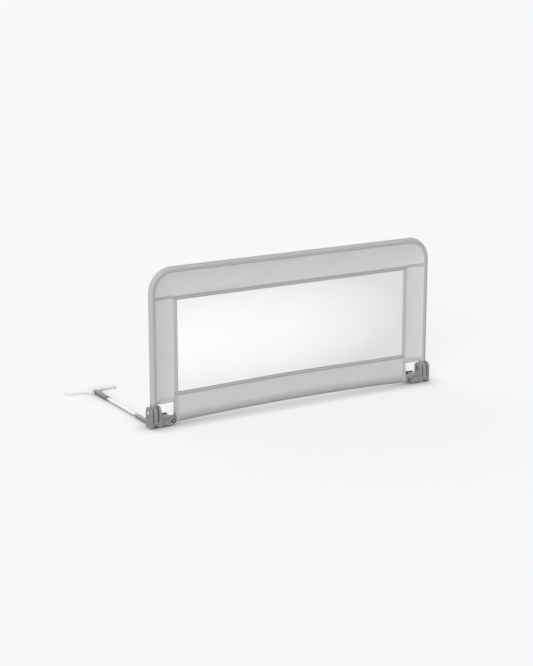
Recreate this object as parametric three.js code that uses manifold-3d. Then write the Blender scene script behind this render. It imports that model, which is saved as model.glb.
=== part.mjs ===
// Folding bed guard rail: a fabric-covered tube guard on two hinged brackets, with arms that go under
// the mattress. Millimetres. +X runs along the rail, +Y points from the guard to the bed, +Z is up,
// and the floor is at zero.
import * as THREE from "three";
import { mergeVertices } from "three/addons/utils/BufferGeometryUtils.js";
import Module from "manifold-3d";

// General allowances
const fit = 0.3; // gap around a piece that sits in, on or against another
const overrun = 2; // how far a cutting solid runs past the face that it cuts
const weldDistance = 1e-4; // corners of a mesh that lie this near each other are one
const roundSides = 20; // sides of a large round section
const smallSides = 12; // sides of a pin, screw or bore
const quarterTurn = Math.PI / 2;

// Guard frame, bent from round tube
const uprightSpacing = 1078; // between the axes of the two uprights
const topTubeHeight = 520; // floor to the axis of the top tube
const bendRadius = 72; // at the tube's axis
const bendSteps = 6;
const tubeRadius = 9.5;
const tubeWall = 1.2;
const joinerLength = 90; // sleeve inside the top tube, where the two halves meet
const joinerWall = 1.5;
const rivetRadius = 2.4;
const rivetInset = 25; // from the meeting line to a rivet

// Hinge: a knuckle on each upright turns between the two ears of a bracket
const pivotHeight = 53;
const earRadius = 19; // also half the depth of the bracket
const earThickness = 7.5;
const pinRadius = 4;
const pinHeadRadius = 7;
const pinHeadThickness = 2.4;
const pinSeatDepth = 2; // depth of the round seats for the pin's head and its clip
const knuckleWall = 2;
const knuckleReach = 30.5; // from the pivot to the knuckle's rounded foot
const knuckleCollar = 27; // from the pivot up to the rim of the tube socket
const ribWidth = 12.5; // the knuckle's front rib
const ribSetback = 0.6; // the rib's face lies this far behind the ears' faces
const ribSeatRise = 8; // from the floor block's top up to the top of the seat in front of the rib's foot
const baseClearance = 1.5; // from the knuckle's foot down to the bracket's floor block
const archRadius = 13.2; // the arched recess under the bracket
const archHeight = 9;
const earHoleRadius = 2.2; // small blind hole under the pivot
const earHoleGap = 1.8; // from the pivot pin's head to that hole
const earHoleDepth = 2.5;
const earRibWidth = 3.2; // slanted stiffening rib on the inner ear
const earRibHeight = 1.2;
const earRibLength = 24;
const earRibDrop = 6; // from the pivot down to the middle of that rib
const earRibAngle = 0.75; // slant of that rib in radians

// Arm under the mattress
const armReach = 512; // from the uprights' plane to the foot's far edge
const armTubeRadius = 5;
const armTubeWall = 1;
const socketWall = 1.5;
const socketLength = 112; // from the ears' back edge to the socket's mouth
const socketStop = 26; // solid length at the socket's closed end
const gussetRise = 4; // how far the web behind the ears stands above the socket
const gussetLength = 30;
const footSleeveWall = 2.6;
const footSleeveLength = 102;
const footSleeveInsert = 70; // how deep the arm tube goes into the sleeve
const spigotRadius = 5;
const spigotLength = 15;
const footLength = 184;
const footDepth = 34;
const footThickness = 6;
const footCorner = 10;
const footShift = 45; // from the sleeve's end to the middle of the foot
const footWall = 2.4;
const hubHalfWidth = 24; // the hub stands in front of the plate and takes the sleeve's spigot
const hubLap = 14; // how far it reaches over the plate
const hubHeight = 15;
const hubCorner = 7;
const footScrewRadius = 1.8;
const footScrewHead = 3.6;
const footScrewHeadHeight = 1.6;

// Push button that holds the arm tube in its socket
const buttonRadius = 2.2;
const buttonInset = 12; // from the socket's mouth to the button
const buttonProud = 1.4;
const flangeSide = 0.8; // from the flange's rim to the tube's bore
const buttonFlangeThickness = 1;
const springThickness = 0.6;
const springWidth = 4.6;
const springLength = 30;

// Latch box beside the inner ear. Its grip lies behind it, on a carriage that holds the plunger.
const boxFront = 17;
const boxBottom = 3;
const boxWall = 2.4;
const boxCorner = 4;
const coverThickness = 2.2;
const coverFrame = 2.2; // width of the raised frame round the cover's sunken field
const coverSink = 0.9;
const coverScrewRadius = 1.6;
const coverScrewHead = 3.2;
const coverScrewHeadHeight = 1.2;
const coverBossWall = 1.7;
const plungerRadius = 3;
const plungerEdge = 3.3; // material left between the lock hole and the knuckle's foot
const plungerBehind = 4; // the plunger's axis lies this far towards the bed
const socketFloor = 3.5; // material left between the lock hole and the tube's end
const lockDepth = 6;
const latchTravel = 6;
const carriageLength = 14;
const carriageHalf = 5.2; // half the carriage's depth, and its reach below the plunger's axis
const carriageRise = 4.5; // its reach above that axis
const carriageBehind = 1.4; // room between the carriage and the box's back
const coilRoom = 9.3; // length left for the coil when the grip is pulled
const neckHeight = 5; // the web that joins the carriage to the grip
const slotSide = 1; // side clearance of the neck in its slot
const gripRadius = 6.8;
const gripLength = 32;
const gripRise = 2.2; // from the plunger's axis up to the grip's
const gripGap = 0.8; // from the box's back to the grip
const gripStart = 26; // from the upright's axis to the grip's near end
const gripCrown = 2.4; // how far the grip's ends are rounded off
const coilRadius = 4.2;
const coilWire = 0.5;
const coilTurns = 5;
const coilSteps = 8;
const coilSides = 5;

// Bottom tube between the brackets, and the bolts that hold it
const bottomTubeRadius = 8;
const bottomTubeWall = 1.2;
const bottomTubeHeight = 17;
const bottomTubeBow = 9.4; // the cover pulls the middle of the tube up by this much
const tubeSlack = 0.9; // room round the tube's ends in the lugs, which lets it bow
const bowSteps = 14;
const bowSides = 14; // sides of the bowed tube and of the sleeve round it
const lugWall = 2;
const tubeInset = 2; // from the latch box's end to the tube's end
const bossFront = 15; // from the tube's axis to the boss's face
const bossDepth = 11;
const bossStep = 1.5; // the boss's top lies this far under the box's top
const pocketWidth = 4.6; // two small recesses above the bolt
const pocketHeight = 5;
const pocketDepth = 2;
const pocketSpread = 10; // between the middles of the two recesses
const pocketDrop = 5; // from the boss's top down to their middle
const boltRadius = 2.5;
const boltHeadRadius = 3.4;
const boltHeadHeight = 2.6;
const boltRingRadius = 7.5;
const boltRingHeight = 2;
const nutRadius = 4.8;
const nutHeight = 4;

// Fabric cover
const fabric = 1.5;
const panelHalf = 1.1; // half the thickness of a flat panel
const hemHalf = 1.7; // half the thickness of a folded hem
const hemWidth = 14;
const meshHalf = 0.5;
const topBandHeight = 100.5; // from the top tube's axis down to the window
const sideBandWidth = 89.5; // from an upright's axis to the window
const windowBottom = 109;
const windowBow = 5; // the pull on the cover lifts the middle of the window's lower edge by this much
const bandClearance = 4.5; // from the ears' round tops up to the side bands, which fold down past the ears
const stripInset = 0.8; // from the lug's end to the end of the bottom strip
const sleeveStart = 1.5; // from the knuckle's rim up to the cover's sleeve
const joinGap = 0.6; // gap between the bottom strip and the panels above it

// Colours
const greyFabric = new THREE.MeshStandardMaterial({ color: 0xc6c6c6, roughness: 0.9, metalness: 0 });
const whiteMesh = new THREE.MeshStandardMaterial({ color: 0xf4f4f4, roughness: 0.9, metalness: 0 });
const greyPlastic = new THREE.MeshStandardMaterial({ color: 0x86888a, roughness: 0.55, metalness: 0 });
const darkPlastic = new THREE.MeshStandardMaterial({ color: 0x36383a, roughness: 0.5, metalness: 0 });
const whitePlastic = new THREE.MeshStandardMaterial({ color: 0xf0f0ee, roughness: 0.4, metalness: 0 });
const whitePaint = new THREE.MeshStandardMaterial({ color: 0xeeeeec, roughness: 0.35, metalness: 0.1 });
const brightSteel = new THREE.MeshStandardMaterial({ color: 0xc9cacc, roughness: 0.3, metalness: 1 });

// Sizes that follow from the ones above. A hinge is modelled with its upright's axis at x = 0,
// and x there grows towards the middle of the rail.
const halfSpacing = uprightSpacing / 2;
const knuckleRadius = tubeRadius + fit + knuckleWall;
const earInside = knuckleRadius + fit;
const earOutside = earInside + earThickness;
const baseTop = pivotHeight - knuckleReach - baseClearance;
const earHoleDrop = pinHeadRadius + earHoleGap + earHoleRadius;
const plungerDrop = knuckleReach - plungerRadius - plungerEdge;
const plungerHeight = pivotHeight - plungerDrop;
const tubeTail = plungerDrop - plungerRadius - fit - socketFloor;
const socketRadius = armTubeRadius + fit + socketWall;
const footSleeveRadius = armTubeRadius + fit + footSleeveWall;
const armAxis = footSleeveRadius;
const socketMouth = earRadius + socketLength;
const buttonPlace = socketMouth - buttonInset;
const buttonFlange = armTubeRadius - armTubeWall - flangeSide;
const footMiddle = armReach - footDepth / 2;
const footSleeveEnd = footMiddle - footShift;
const footSleeveStart = footSleeveEnd - footSleeveLength;
const armTubeEnd = footSleeveStart + footSleeveInsert;
const boxSpaceStart = earOutside + boxWall;
const carriageStart = boxSpaceStart + fit;
const carriageEnd = carriageStart + carriageLength;
const boxSpaceEnd = carriageEnd + latchTravel + coilRoom;
const boxEnd = boxSpaceEnd + boxWall;
const boxMiddle = (boxSpaceStart + boxSpaceEnd) / 2;
const carriageTop = plungerHeight + carriageRise;
const boxTop = carriageTop + fit + boxWall;
const boxBack = plungerBehind + carriageHalf + carriageBehind + boxWall;
const plungerEnd = boxSpaceEnd - latchTravel - fit;
const coverScrewHeight = (boxBottom + boxWall + plungerHeight - carriageHalf) / 2;
const gripAxis = boxBack + gripGap + gripRadius;
const gripHeight = plungerHeight + gripRise;
const lugRadius = bottomTubeRadius + tubeSlack + lugWall;
const lugEnd = boxEnd + lugRadius * 2;
const bossTop = boxTop - bossStep;
const boltAlong = lugEnd - lugRadius;
const bottomTubeHalf = halfSpacing - boxEnd - tubeInset;
const sleeveInner = tubeRadius + fit;
const sleeveOuter = sleeveInner + fabric;
const sleeveBottom = pivotHeight + knuckleCollar + sleeveStart;
const panelEdge = sleeveOuter + fit; // from a tube's axis to the edge of the panels
const windowTop = topTubeHeight - topBandHeight;
const windowHalf = halfSpacing - sideBandWidth;
const stripHalf = halfSpacing - lugEnd - stripInset;
const sideBandBottom = pivotHeight + earRadius + bandClearance;
const guardPlane = (earRadius - armReach) / 2; // puts the origin under the middle of the whole object

const wasm = await Module();
wasm.setup();

// Turns a closed three.js geometry into a solid that can be joined and cut.
function solid(geometry) {
  const bare = new THREE.BufferGeometry();
  const source = geometry.index ? geometry.toNonIndexed() : geometry;
  bare.setAttribute("position", source.getAttribute("position"));
  const merged = mergeVertices(bare, weldDistance);
  return new wasm.Manifold(
    new wasm.Mesh({
      numProp: 3,
      vertProperties: new Float32Array(merged.attributes.position.array),
      triVerts: new Uint32Array(merged.index.array),
    }),
  );
}

// Turns a solid back into a geometry with flat-shaded faces.
function geometryOf(made) {
  const mesh = made.getMesh();
  const geometry = new THREE.BufferGeometry();
  const places = new Float32Array(mesh.vertProperties);
  geometry.setAttribute("position", new THREE.BufferAttribute(places, mesh.numProp));
  geometry.setIndex(new THREE.BufferAttribute(new Uint32Array(mesh.triVerts), 1));
  const flat = geometry.toNonIndexed();
  flat.computeVertexNormals();
  return flat;
}

// A block between two corners.
function block(x0, x1, y0, y1, z0, z1) {
  const box = new THREE.BoxGeometry(x1 - x0, y1 - y0, z1 - z0);
  return solid(box.translate((x0 + x1) / 2, (y0 + y1) / 2, (z0 + z1) / 2));
}

// Round bars along each axis. The two values after the ends place the bar's axis in the other two directions.
function barX(radius, x0, x1, y, z, sides = smallSides) {
  const bar = new THREE.CylinderGeometry(radius, radius, x1 - x0, sides).rotateZ(quarterTurn);
  return solid(bar.translate((x0 + x1) / 2, y, z));
}

function barY(radius, y0, y1, x, z, sides = smallSides) {
  const bar = new THREE.CylinderGeometry(radius, radius, y1 - y0, sides);
  return solid(bar.translate(x, (y0 + y1) / 2, z));
}

function barZ(radius, z0, z1, x, y, sides = smallSides) {
  const bar = new THREE.CylinderGeometry(radius, radius, z1 - z0, sides).rotateX(quarterTurn);
  return solid(bar.translate(x, y, (z0 + z1) / 2));
}

// A flat outline drawn in (y, z) and given a thickness along x.
function plateX(shape, x0, x1, curveSegments = 6) {
  const plate = new THREE.ExtrudeGeometry(shape, { depth: x1 - x0, bevelEnabled: false, curveSegments });
  return solid(plate.rotateX(quarterTurn).rotateZ(quarterTurn).translate(x0, 0, 0));
}

// A flat outline drawn in (x, z) and given a thickness along y.
function plateY(shape, y0, y1, curveSegments = 6) {
  const plate = new THREE.ExtrudeGeometry(shape, { depth: y1 - y0, bevelEnabled: false, curveSegments });
  return solid(plate.rotateX(quarterTurn).translate(0, y1, 0));
}

// A flat outline drawn in (x, y) and given a thickness along z.
function plateZ(shape, z0, z1, curveSegments = 3) {
  const plate = new THREE.ExtrudeGeometry(shape, { depth: z1 - z0, bevelEnabled: false, curveSegments });
  return solid(plate.translate(0, 0, z0));
}

// A rectangle with round corners.
function roundedRectangle(x0, x1, y0, y1, radius) {
  const shape = new THREE.Shape();
  shape.moveTo(x0 + radius, y0);
  shape.lineTo(x1 - radius, y0);
  shape.absarc(x1 - radius, y0 + radius, radius, -quarterTurn, 0, false);
  shape.lineTo(x1, y1 - radius);
  shape.absarc(x1 - radius, y1 - radius, radius, 0, quarterTurn, false);
  shape.lineTo(x0 + radius, y1);
  shape.absarc(x0 + radius, y1 - radius, radius, quarterTurn, Math.PI, false);
  shape.lineTo(x0, y0 + radius);
  shape.absarc(x0 + radius, y0 + radius, radius, Math.PI, Math.PI + quarterTurn, false);
  return shape;
}

// A quarter circle in the XZ plane, from one angle to another.
class Bend extends THREE.Curve {
  constructor(x, z, radius, from, to) {
    super();
    Object.assign(this, { x, z, radius, from, to });
  }

  getPoint(t, target = new THREE.Vector3()) {
    const angle = THREE.MathUtils.lerp(this.from, this.to, t);
    return target.set(this.x + this.radius * Math.cos(angle), 0, this.z + this.radius * Math.sin(angle));
  }

  getTangent(t, target = new THREE.Vector3()) {
    const angle = THREE.MathUtils.lerp(this.from, this.to, t);
    const turn = Math.sign(this.to - this.from);
    return target.set(-turn * Math.sin(angle), 0, turn * Math.cos(angle));
  }
}

// Lines and bends end to end. Each piece gets its own number of steps, so that straight runs stay light.
class PipeRun extends THREE.Curve {
  constructor(pieces) {
    super();
    this.stations = pieces.flatMap(([curve, steps]) =>
      Array.from({ length: steps }, (_, i) => [curve, i / steps, (i + 1) / steps]),
    );
  }

  steps() {
    return this.stations.length;
  }

  pick(t) {
    const place = t * this.stations.length;
    const station = Math.min(Math.floor(place), this.stations.length - 1);
    const [curve, start, end] = this.stations[station];
    return [curve, THREE.MathUtils.lerp(start, end, place - station)];
  }

  getPoint(t, target) {
    const [curve, place] = this.pick(t);
    return curve.getPoint(place, target);
  }

  getTangent(t, target) {
    const [curve, place] = this.pick(t);
    return curve.getTangent(place, target);
  }

  getUtoTmapping(share) {
    return share;
  }
}

// A round section with so many sides, for a pipe or a bar along a curve.
function roundSection(radius, sides) {
  const shape = new THREE.Shape();
  for (let i = 0; i < sides; i += 1) {
    const angle = (i / sides) * Math.PI * 2;
    if (i === 0) shape.moveTo(radius, 0);
    else shape.lineTo(radius * Math.cos(angle), radius * Math.sin(angle));
  }
  shape.closePath();
  return shape;
}

// A solid round bar along a curve.
function barAlong(curve, steps, radius, sides) {
  return solid(new THREE.ExtrudeGeometry(roundSection(radius, sides), { steps, extrudePath: curve }));
}

// A pipe along a curve. The core runs a little past both ends, so that it leaves them open.
function pipeAlong(run, longerRun, outer, inner, sides) {
  const core = barAlong(longerRun, longerRun.steps(), inner, sides);
  return barAlong(run, run.steps(), outer, sides).subtract(core);
}

// A straight piece of a route in the XZ plane.
function line(x0, z0, x1, z1) {
  return new THREE.LineCurve3(new THREE.Vector3(x0, 0, z0), new THREE.Vector3(x1, 0, z1));
}

// The tube's route for one half of the guard: up the left upright, round the bend and along the top.
function halfRun(bottom, end) {
  const bendTop = topTubeHeight - bendRadius;
  return new PipeRun([
    [line(-halfSpacing, bottom, -halfSpacing, bendTop), 1],
    [new Bend(-halfSpacing + bendRadius, bendTop, bendRadius, Math.PI, quarterTurn), bendSteps],
    [line(-halfSpacing + bendRadius, topTubeHeight, end, topTubeHeight), 1],
  ]);
}

// The route over the whole guard, from one upright's foot to the other's.
function wholeRun(bottom) {
  const bendTop = topTubeHeight - bendRadius;
  const straight = halfSpacing - bendRadius;
  return new PipeRun([
    [line(-halfSpacing, bottom, -halfSpacing, bendTop), 1],
    [new Bend(-straight, bendTop, bendRadius, Math.PI, quarterTurn), bendSteps],
    [line(-straight, topTubeHeight, straight, topTubeHeight), 1],
    [new Bend(straight, bendTop, bendRadius, quarterTurn, 0), bendSteps],
    [line(halfSpacing, bendTop, halfSpacing, bottom), 1],
  ]);
}

// The bottom tube's line, which the cover's pull bows upwards.
function bowHeight(x) {
  return bottomTubeHeight + bottomTubeBow * (1 - (x / stripHalf) ** 2);
}

// The line between the window and the bottom strip, drawn upwards in the middle and level at both ends.
function windowLine(x) {
  return windowBottom + (windowBow * (1 + Math.cos((Math.PI * x) / stripHalf))) / 2;
}

// A flat outline between two lines over the rail's length. Each line gives a height for a place along it.
function outlineBetween(half, highLine, lowLine) {
  const places = Array.from({ length: bowSteps + 1 }, (_, i) => THREE.MathUtils.lerp(-half, half, i / bowSteps));
  const high = places.map((x) => new THREE.Vector2(x, highLine(x))).reverse();
  return new THREE.Shape([...high, ...places.map((x) => new THREE.Vector2(x, lowLine(x)))]);
}

class BowedLine extends THREE.Curve {
  constructor(half) {
    super();
    this.half = half;
  }

  getPoint(t, target = new THREE.Vector3()) {
    const x = THREE.MathUtils.lerp(-this.half, this.half, t);
    const height = Math.abs(x) < stripHalf ? bowHeight(x) : bottomTubeHeight;
    return target.set(x, 0, height);
  }
}

// Each half of the guard's tube, drilled for the pivot pin and the joiner's rivet.
function upperTube() {
  const foot = pivotHeight - tubeTail;
  const tube = pipeAlong(
    halfRun(foot, -fit / 2),
    halfRun(foot - overrun, overrun),
    tubeRadius,
    tubeRadius - tubeWall,
    roundSides,
  );
  const reach = tubeRadius + overrun;
  const pinHole = barX(pinRadius + fit, -halfSpacing - reach, -halfSpacing + reach, 0, pivotHeight);
  const rivetHole = barZ(rivetRadius + fit, topTubeHeight, topTubeHeight + reach, -rivetInset, 0);
  return tube.subtract(pinHole).subtract(rivetHole);
}

// The sleeve inside the top tube that joins its two halves.
function tubeJoiner() {
  const outer = tubeRadius - tubeWall - fit;
  const half = joinerLength / 2;
  const core = barX(outer - joinerWall, -half - overrun, half + overrun, 0, topTubeHeight, roundSides);
  let joiner = barX(outer, -half, half, 0, topTubeHeight, roundSides).subtract(core);
  for (const x of [-rivetInset, rivetInset]) {
    joiner = joiner.subtract(barZ(rivetRadius + fit, topTubeHeight, topTubeHeight + tubeRadius, x, 0));
  }
  return joiner;
}

function joinerRivet() {
  const outside = topTubeHeight + tubeRadius;
  const shank = barZ(rivetRadius, outside - tubeWall - joinerWall, outside, 0, 0);
  return shank.intersect(barX(tubeRadius, -rivetRadius, rivetRadius, 0, topTubeHeight, roundSides));
}

// Outline of an ear: flat below, round about the pivot above.
function earShape(radius, bottom) {
  const shape = new THREE.Shape();
  shape.moveTo(-radius, bottom);
  shape.lineTo(radius, bottom);
  shape.lineTo(radius, pivotHeight);
  shape.absarc(0, pivotHeight, radius, 0, Math.PI, false);
  shape.closePath();
  return shape;
}

// The web behind the ears, in (y, z).
function gussetShape() {
  const top = armAxis + socketRadius;
  const shape = new THREE.Shape();
  shape.moveTo(0, 0);
  shape.lineTo(earRadius + gussetLength, 0);
  shape.lineTo(earRadius + gussetLength, top - fit);
  shape.quadraticCurveTo(earRadius + gussetLength / 2, top, earRadius - fit, top + gussetRise);
  shape.lineTo(0, top + gussetRise);
  shape.closePath();
  return shape;
}

// The bracket: ears, floor block, arm socket, latch box and lug in one moulding.
function bracket() {
  let body = plateX(earShape(earRadius, 0), -earOutside, -earInside);
  body = body.add(plateX(earShape(earRadius, 0), earInside, earOutside));
  body = body.add(block(-earInside - fit, earInside + fit, -earRadius, earRadius, 0, baseTop));
  body = body.add(ribSeat());
  body = body.add(plateX(gussetShape(), -socketRadius, socketRadius));
  body = body.add(barY(socketRadius, earRadius - fit, socketMouth, 0, armAxis, roundSides));
  body = body.add(latchBox()).add(lug());
  body = body.add(innerEarRib());

  // Room for the knuckle's foot to swing, and for everything that goes through the moulding
  const sweep = barX(knuckleReach + baseClearance / 2, -earInside, earInside, 0, pivotHeight, roundSides);
  const tunnel = barY(
    archRadius,
    -earRadius - overrun,
    earRadius - boxWall,
    0,
    archHeight - archRadius,
    roundSides,
  );
  const stop = earRadius + socketStop;
  const bore = barY(armTubeRadius + fit, stop, socketMouth + overrun, 0, armAxis, roundSides);
  const socketTop = armAxis + socketRadius;
  const buttonHole = barZ(buttonRadius + fit, armAxis, socketTop + overrun, 0, buttonPlace);
  const pinHole = barX(pinRadius + fit, -earOutside - overrun, earOutside + overrun, 0, pivotHeight);
  const seatRadius = pinHeadRadius + fit;
  const seatEnd = -earOutside + pinSeatDepth;
  const headSeat = barX(seatRadius, -earOutside - overrun, seatEnd, 0, pivotHeight, roundSides);
  const clipSeat = barX(
    seatRadius,
    earOutside - pinSeatDepth,
    earOutside + earRibHeight + overrun,
    0,
    pivotHeight,
    roundSides,
  );
  const plungerHole = barX(
    plungerRadius + fit,
    earInside - overrun,
    boxSpaceStart + overrun,
    plungerBehind,
    plungerHeight,
  );
  const earHole = barX(
    earHoleRadius,
    -earOutside - overrun,
    -earOutside + earHoleDepth,
    0,
    pivotHeight - earHoleDrop,
  );
  return [sweep, tunnel, bore, buttonHole, pinHole, headSeat, clipSeat, plungerHole, earHole].reduce(
    (made, cut) => made.subtract(cut),
    body,
  );
}

// The raised part of the floor block in front of the rib's foot.
function ribSeat() {
  const half = ribWidth / 2;
  return block(-half, half, -earRadius + ribSetback, 0, baseTop - fit, baseTop + ribSeatRise);
}

// The slanted rib on the inner ear's face.
function innerEarRib() {
  const rib = new THREE.BoxGeometry(earRibHeight * 2, earRibLength, earRibWidth).rotateX(-earRibAngle);
  rib.translate(earOutside, 0, pivotHeight - earRibDrop);
  const face = earShape(earRadius - fit, boxBottom);
  return solid(rib).intersect(plateX(face, earOutside - earRibHeight, earOutside + earRibHeight));
}

// The latch box: open in front for its cover, with a slot in its back for the grip's neck.
function latchBox() {
  const outline = roundedRectangle(-boxFront, boxBack, boxBottom, boxTop, boxCorner);
  const shell = plateX(outline, earOutside - fit, boxEnd, 2);
  const space = block(
    boxSpaceStart,
    boxSpaceEnd,
    -boxFront - overrun,
    boxBack - boxWall,
    boxBottom + boxWall,
    boxTop - boxWall,
  );
  const slot = block(
    boxSpaceStart,
    carriageEnd + latchTravel + slotSide,
    boxBack - boxWall - overrun,
    boxBack + overrun,
    carriageTop - neckHeight - slotSide,
    boxTop - boxWall,
  );
  const bossRadius = coverScrewRadius + fit + coverBossWall;
  const back = boxBack - boxWall;
  const boss = barY(bossRadius, -boxFront + coverThickness + fit, back + fit, boxMiddle, coverScrewHeight);
  const screwHole = barY(coverScrewRadius + fit, -boxFront, back, boxMiddle, coverScrewHeight);
  return shell.subtract(space).subtract(slot).add(boss).subtract(screwHole);
}

// Outline of the lug's front boss: square at the top, round about the bolt below.
function lugShape() {
  const shape = new THREE.Shape();
  shape.moveTo(boltAlong + lugRadius, bossTop);
  shape.lineTo(boltAlong - lugRadius, bossTop);
  shape.lineTo(boltAlong - lugRadius, bottomTubeHeight);
  shape.absarc(boltAlong, bottomTubeHeight, lugRadius, Math.PI, Math.PI * 2, false);
  shape.closePath();
  return shape;
}

// The lug that the bottom tube's end goes into, with a boss in front for the bolt.
function lug() {
  const back = -bossFront + bossDepth;
  const sleeve = barX(lugRadius, boxEnd - fit, lugEnd, 0, bottomTubeHeight, roundSides);
  const boss = plateY(lugShape(), -bossFront, back);
  const web = block(boxEnd - fit, boltAlong, -bossFront, back, bottomTubeHeight, bossTop);
  const stop = boxEnd + tubeInset / 2;
  const boreRadius = bottomTubeRadius + tubeSlack;
  const bore = barX(boreRadius, stop, lugEnd + overrun, 0, bottomTubeHeight, roundSides);
  const reach = bossFront + overrun;
  const boltHole = barY(boltRadius + fit, -reach, reach, boltAlong, bottomTubeHeight);
  let body = sleeve.add(boss).add(web).subtract(bore).subtract(boltHole);
  for (const x of [boltAlong - pocketSpread / 2, boltAlong + pocketSpread / 2]) {
    const pocket = block(
      x - pocketWidth / 2,
      x + pocketWidth / 2,
      -bossFront - overrun,
      -bossFront + pocketDepth,
      bossTop - pocketDrop - pocketHeight / 2,
      bossTop - pocketDrop + pocketHeight / 2,
    );
    body = body.subtract(pocket);
  }
  return body;
}

// The plate that closes the latch box in front. Its middle field lies a little deeper than its frame.
function latchCover() {
  const x0 = boxSpaceStart + fit;
  const x1 = boxSpaceEnd - fit;
  const z0 = boxBottom + boxWall + fit;
  const z1 = boxTop - boxWall - fit;
  const back = -boxFront + coverThickness;
  const plate = block(x0, x1, -boxFront, back, z0, z1);
  const rim = coverFrame;
  const field = roundedRectangle(x0 + rim, x1 - rim, z0 + rim, z1 - rim, boxCorner);
  const hole = barY(coverScrewRadius + fit, -boxFront - overrun, back + overrun, boxMiddle, coverScrewHeight);
  return plate.subtract(plateY(field, -boxFront - overrun, -boxFront + coverSink)).subtract(hole);
}

function coverScrew() {
  const face = -boxFront + coverSink - fit;
  const head = barY(coverScrewHead, face - coverScrewHeadHeight, face, boxMiddle, coverScrewHeight);
  return head.add(barY(coverScrewRadius, face - fit, boxBack - boxWall * 2, boxMiddle, coverScrewHeight));
}

// The knuckle: tube socket, front rib and rounded foot.
function knuckle() {
  const foot = pivotHeight - knuckleReach;
  const rim = pivotHeight + knuckleCollar;
  const barrel = barZ(knuckleRadius, foot, rim, 0, 0, roundSides);
  const rib = plateX(earShape(earRadius - ribSetback, foot), -ribWidth / 2, ribWidth / 2).intersect(
    block(-ribWidth, ribWidth, -earRadius, 0, foot, rim),
  );
  const above = block(-knuckleRadius, knuckleRadius, -knuckleReach, knuckleReach, pivotHeight, rim + overrun);
  const reach = knuckleRadius + overrun;
  const round = barX(knuckleReach, -reach, reach, 0, pivotHeight, roundSides);
  const body = barrel.add(rib).intersect(round.add(above));
  const bore = barZ(tubeRadius + fit, pivotHeight - tubeTail - fit, rim + overrun, 0, 0, roundSides);
  const pinHole = barX(pinRadius + fit, -reach, reach, 0, pivotHeight);
  const lockHole = barX(
    plungerRadius + fit,
    knuckleRadius - lockDepth,
    knuckleRadius + overrun,
    plungerBehind,
    plungerHeight,
  );
  return body.subtract(bore).subtract(pinHole).subtract(lockHole);
}

// The pivot pin: its head lies in the outer ear's seat, and its end shows in the clip on the inner ear.
function pivotPin() {
  const headInside = -earOutside + pinSeatDepth - fit;
  const head = barX(pinHeadRadius, headInside - pinHeadThickness, headInside, 0, pivotHeight, roundSides);
  return head.add(barX(pinRadius, headInside - fit, earOutside - fit, 0, pivotHeight));
}

function pivotClip() {
  const start = earOutside - pinSeatDepth + fit;
  const end = start + pinHeadThickness;
  const ring = barX(pinHeadRadius, start, end, 0, pivotHeight, roundSides);
  return ring.subtract(barX(pinRadius + fit, start - overrun, end + overrun, 0, pivotHeight));
}

function armTube() {
  const start = earRadius + socketStop + fit;
  const inside = armTubeRadius - armTubeWall;
  const tube = barY(armTubeRadius, start, armTubeEnd, 0, armAxis, roundSides);
  const core = barY(inside, start - overrun, armTubeEnd + overrun, 0, armAxis, roundSides);
  const hole = barZ(buttonRadius + fit, armAxis, armAxis + armTubeRadius + overrun, 0, buttonPlace);
  return tube.subtract(core).subtract(hole);
}

// Half the height of the arm tube's bore at a distance from its middle.
function boreRise(aside) {
  return Math.sqrt((armTubeRadius - armTubeWall) ** 2 - aside ** 2);
}

// The push button: its flange stays inside the tube, and its round end stands out of the socket.
function armButton() {
  const top = armAxis + socketRadius + buttonProud;
  const flangeTop = armAxis + boreRise(buttonFlange) - fit;
  const shank = barZ(buttonRadius, flangeTop - buttonFlangeThickness, top, 0, buttonPlace);
  const flange = barZ(buttonFlange, flangeTop - buttonFlangeThickness, flangeTop, 0, buttonPlace);
  return shank.add(flange);
}

// The folded leaf spring under the button, seen from the side in (y, z).
function buttonSpring() {
  const top = armAxis + boreRise(buttonFlange) - fit - buttonFlangeThickness - fit;
  const bottom = armAxis - boreRise(springWidth / 2) + fit;
  const tip = buttonPlace - springLength / 2;
  const free = buttonPlace + springLength / 2;
  const under = top - springThickness * 2 - fit;
  const shape = new THREE.Shape();
  shape.moveTo(free, top);
  shape.lineTo(tip, top);
  shape.quadraticCurveTo(tip - springThickness * 2, (top + under) / 2, tip, under);
  shape.lineTo(free, bottom);
  shape.lineTo(free, bottom + springThickness);
  shape.lineTo(tip + springThickness, top - springThickness - fit);
  shape.lineTo(tip + springThickness, top - springThickness);
  shape.lineTo(free, top - springThickness);
  shape.closePath();
  return plateX(shape, -springWidth / 2, springWidth / 2, 2);
}

// The grey sleeve between the arm tube and the foot, with the spigot that the foot's hub takes.
function footSleeve() {
  const sleeve = barY(footSleeveRadius, footSleeveStart, footSleeveEnd, 0, armAxis, roundSides);
  const bore = barY(armTubeRadius + fit, footSleeveStart - overrun, armTubeEnd + fit, 0, armAxis, roundSides);
  const spigotEnd = footSleeveEnd + spigotLength;
  const spigot = barY(spigotRadius, footSleeveEnd - fit, spigotEnd, 0, armAxis, roundSides);
  return sleeve.subtract(bore).add(spigot).subtract(footScrewHole(footScrewRadius + fit));
}

function footScrewHole(radius) {
  return barZ(radius, armAxis - spigotRadius / 2, hubHeight + overrun, 0, footSleeveEnd + spigotLength / 2);
}

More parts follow.
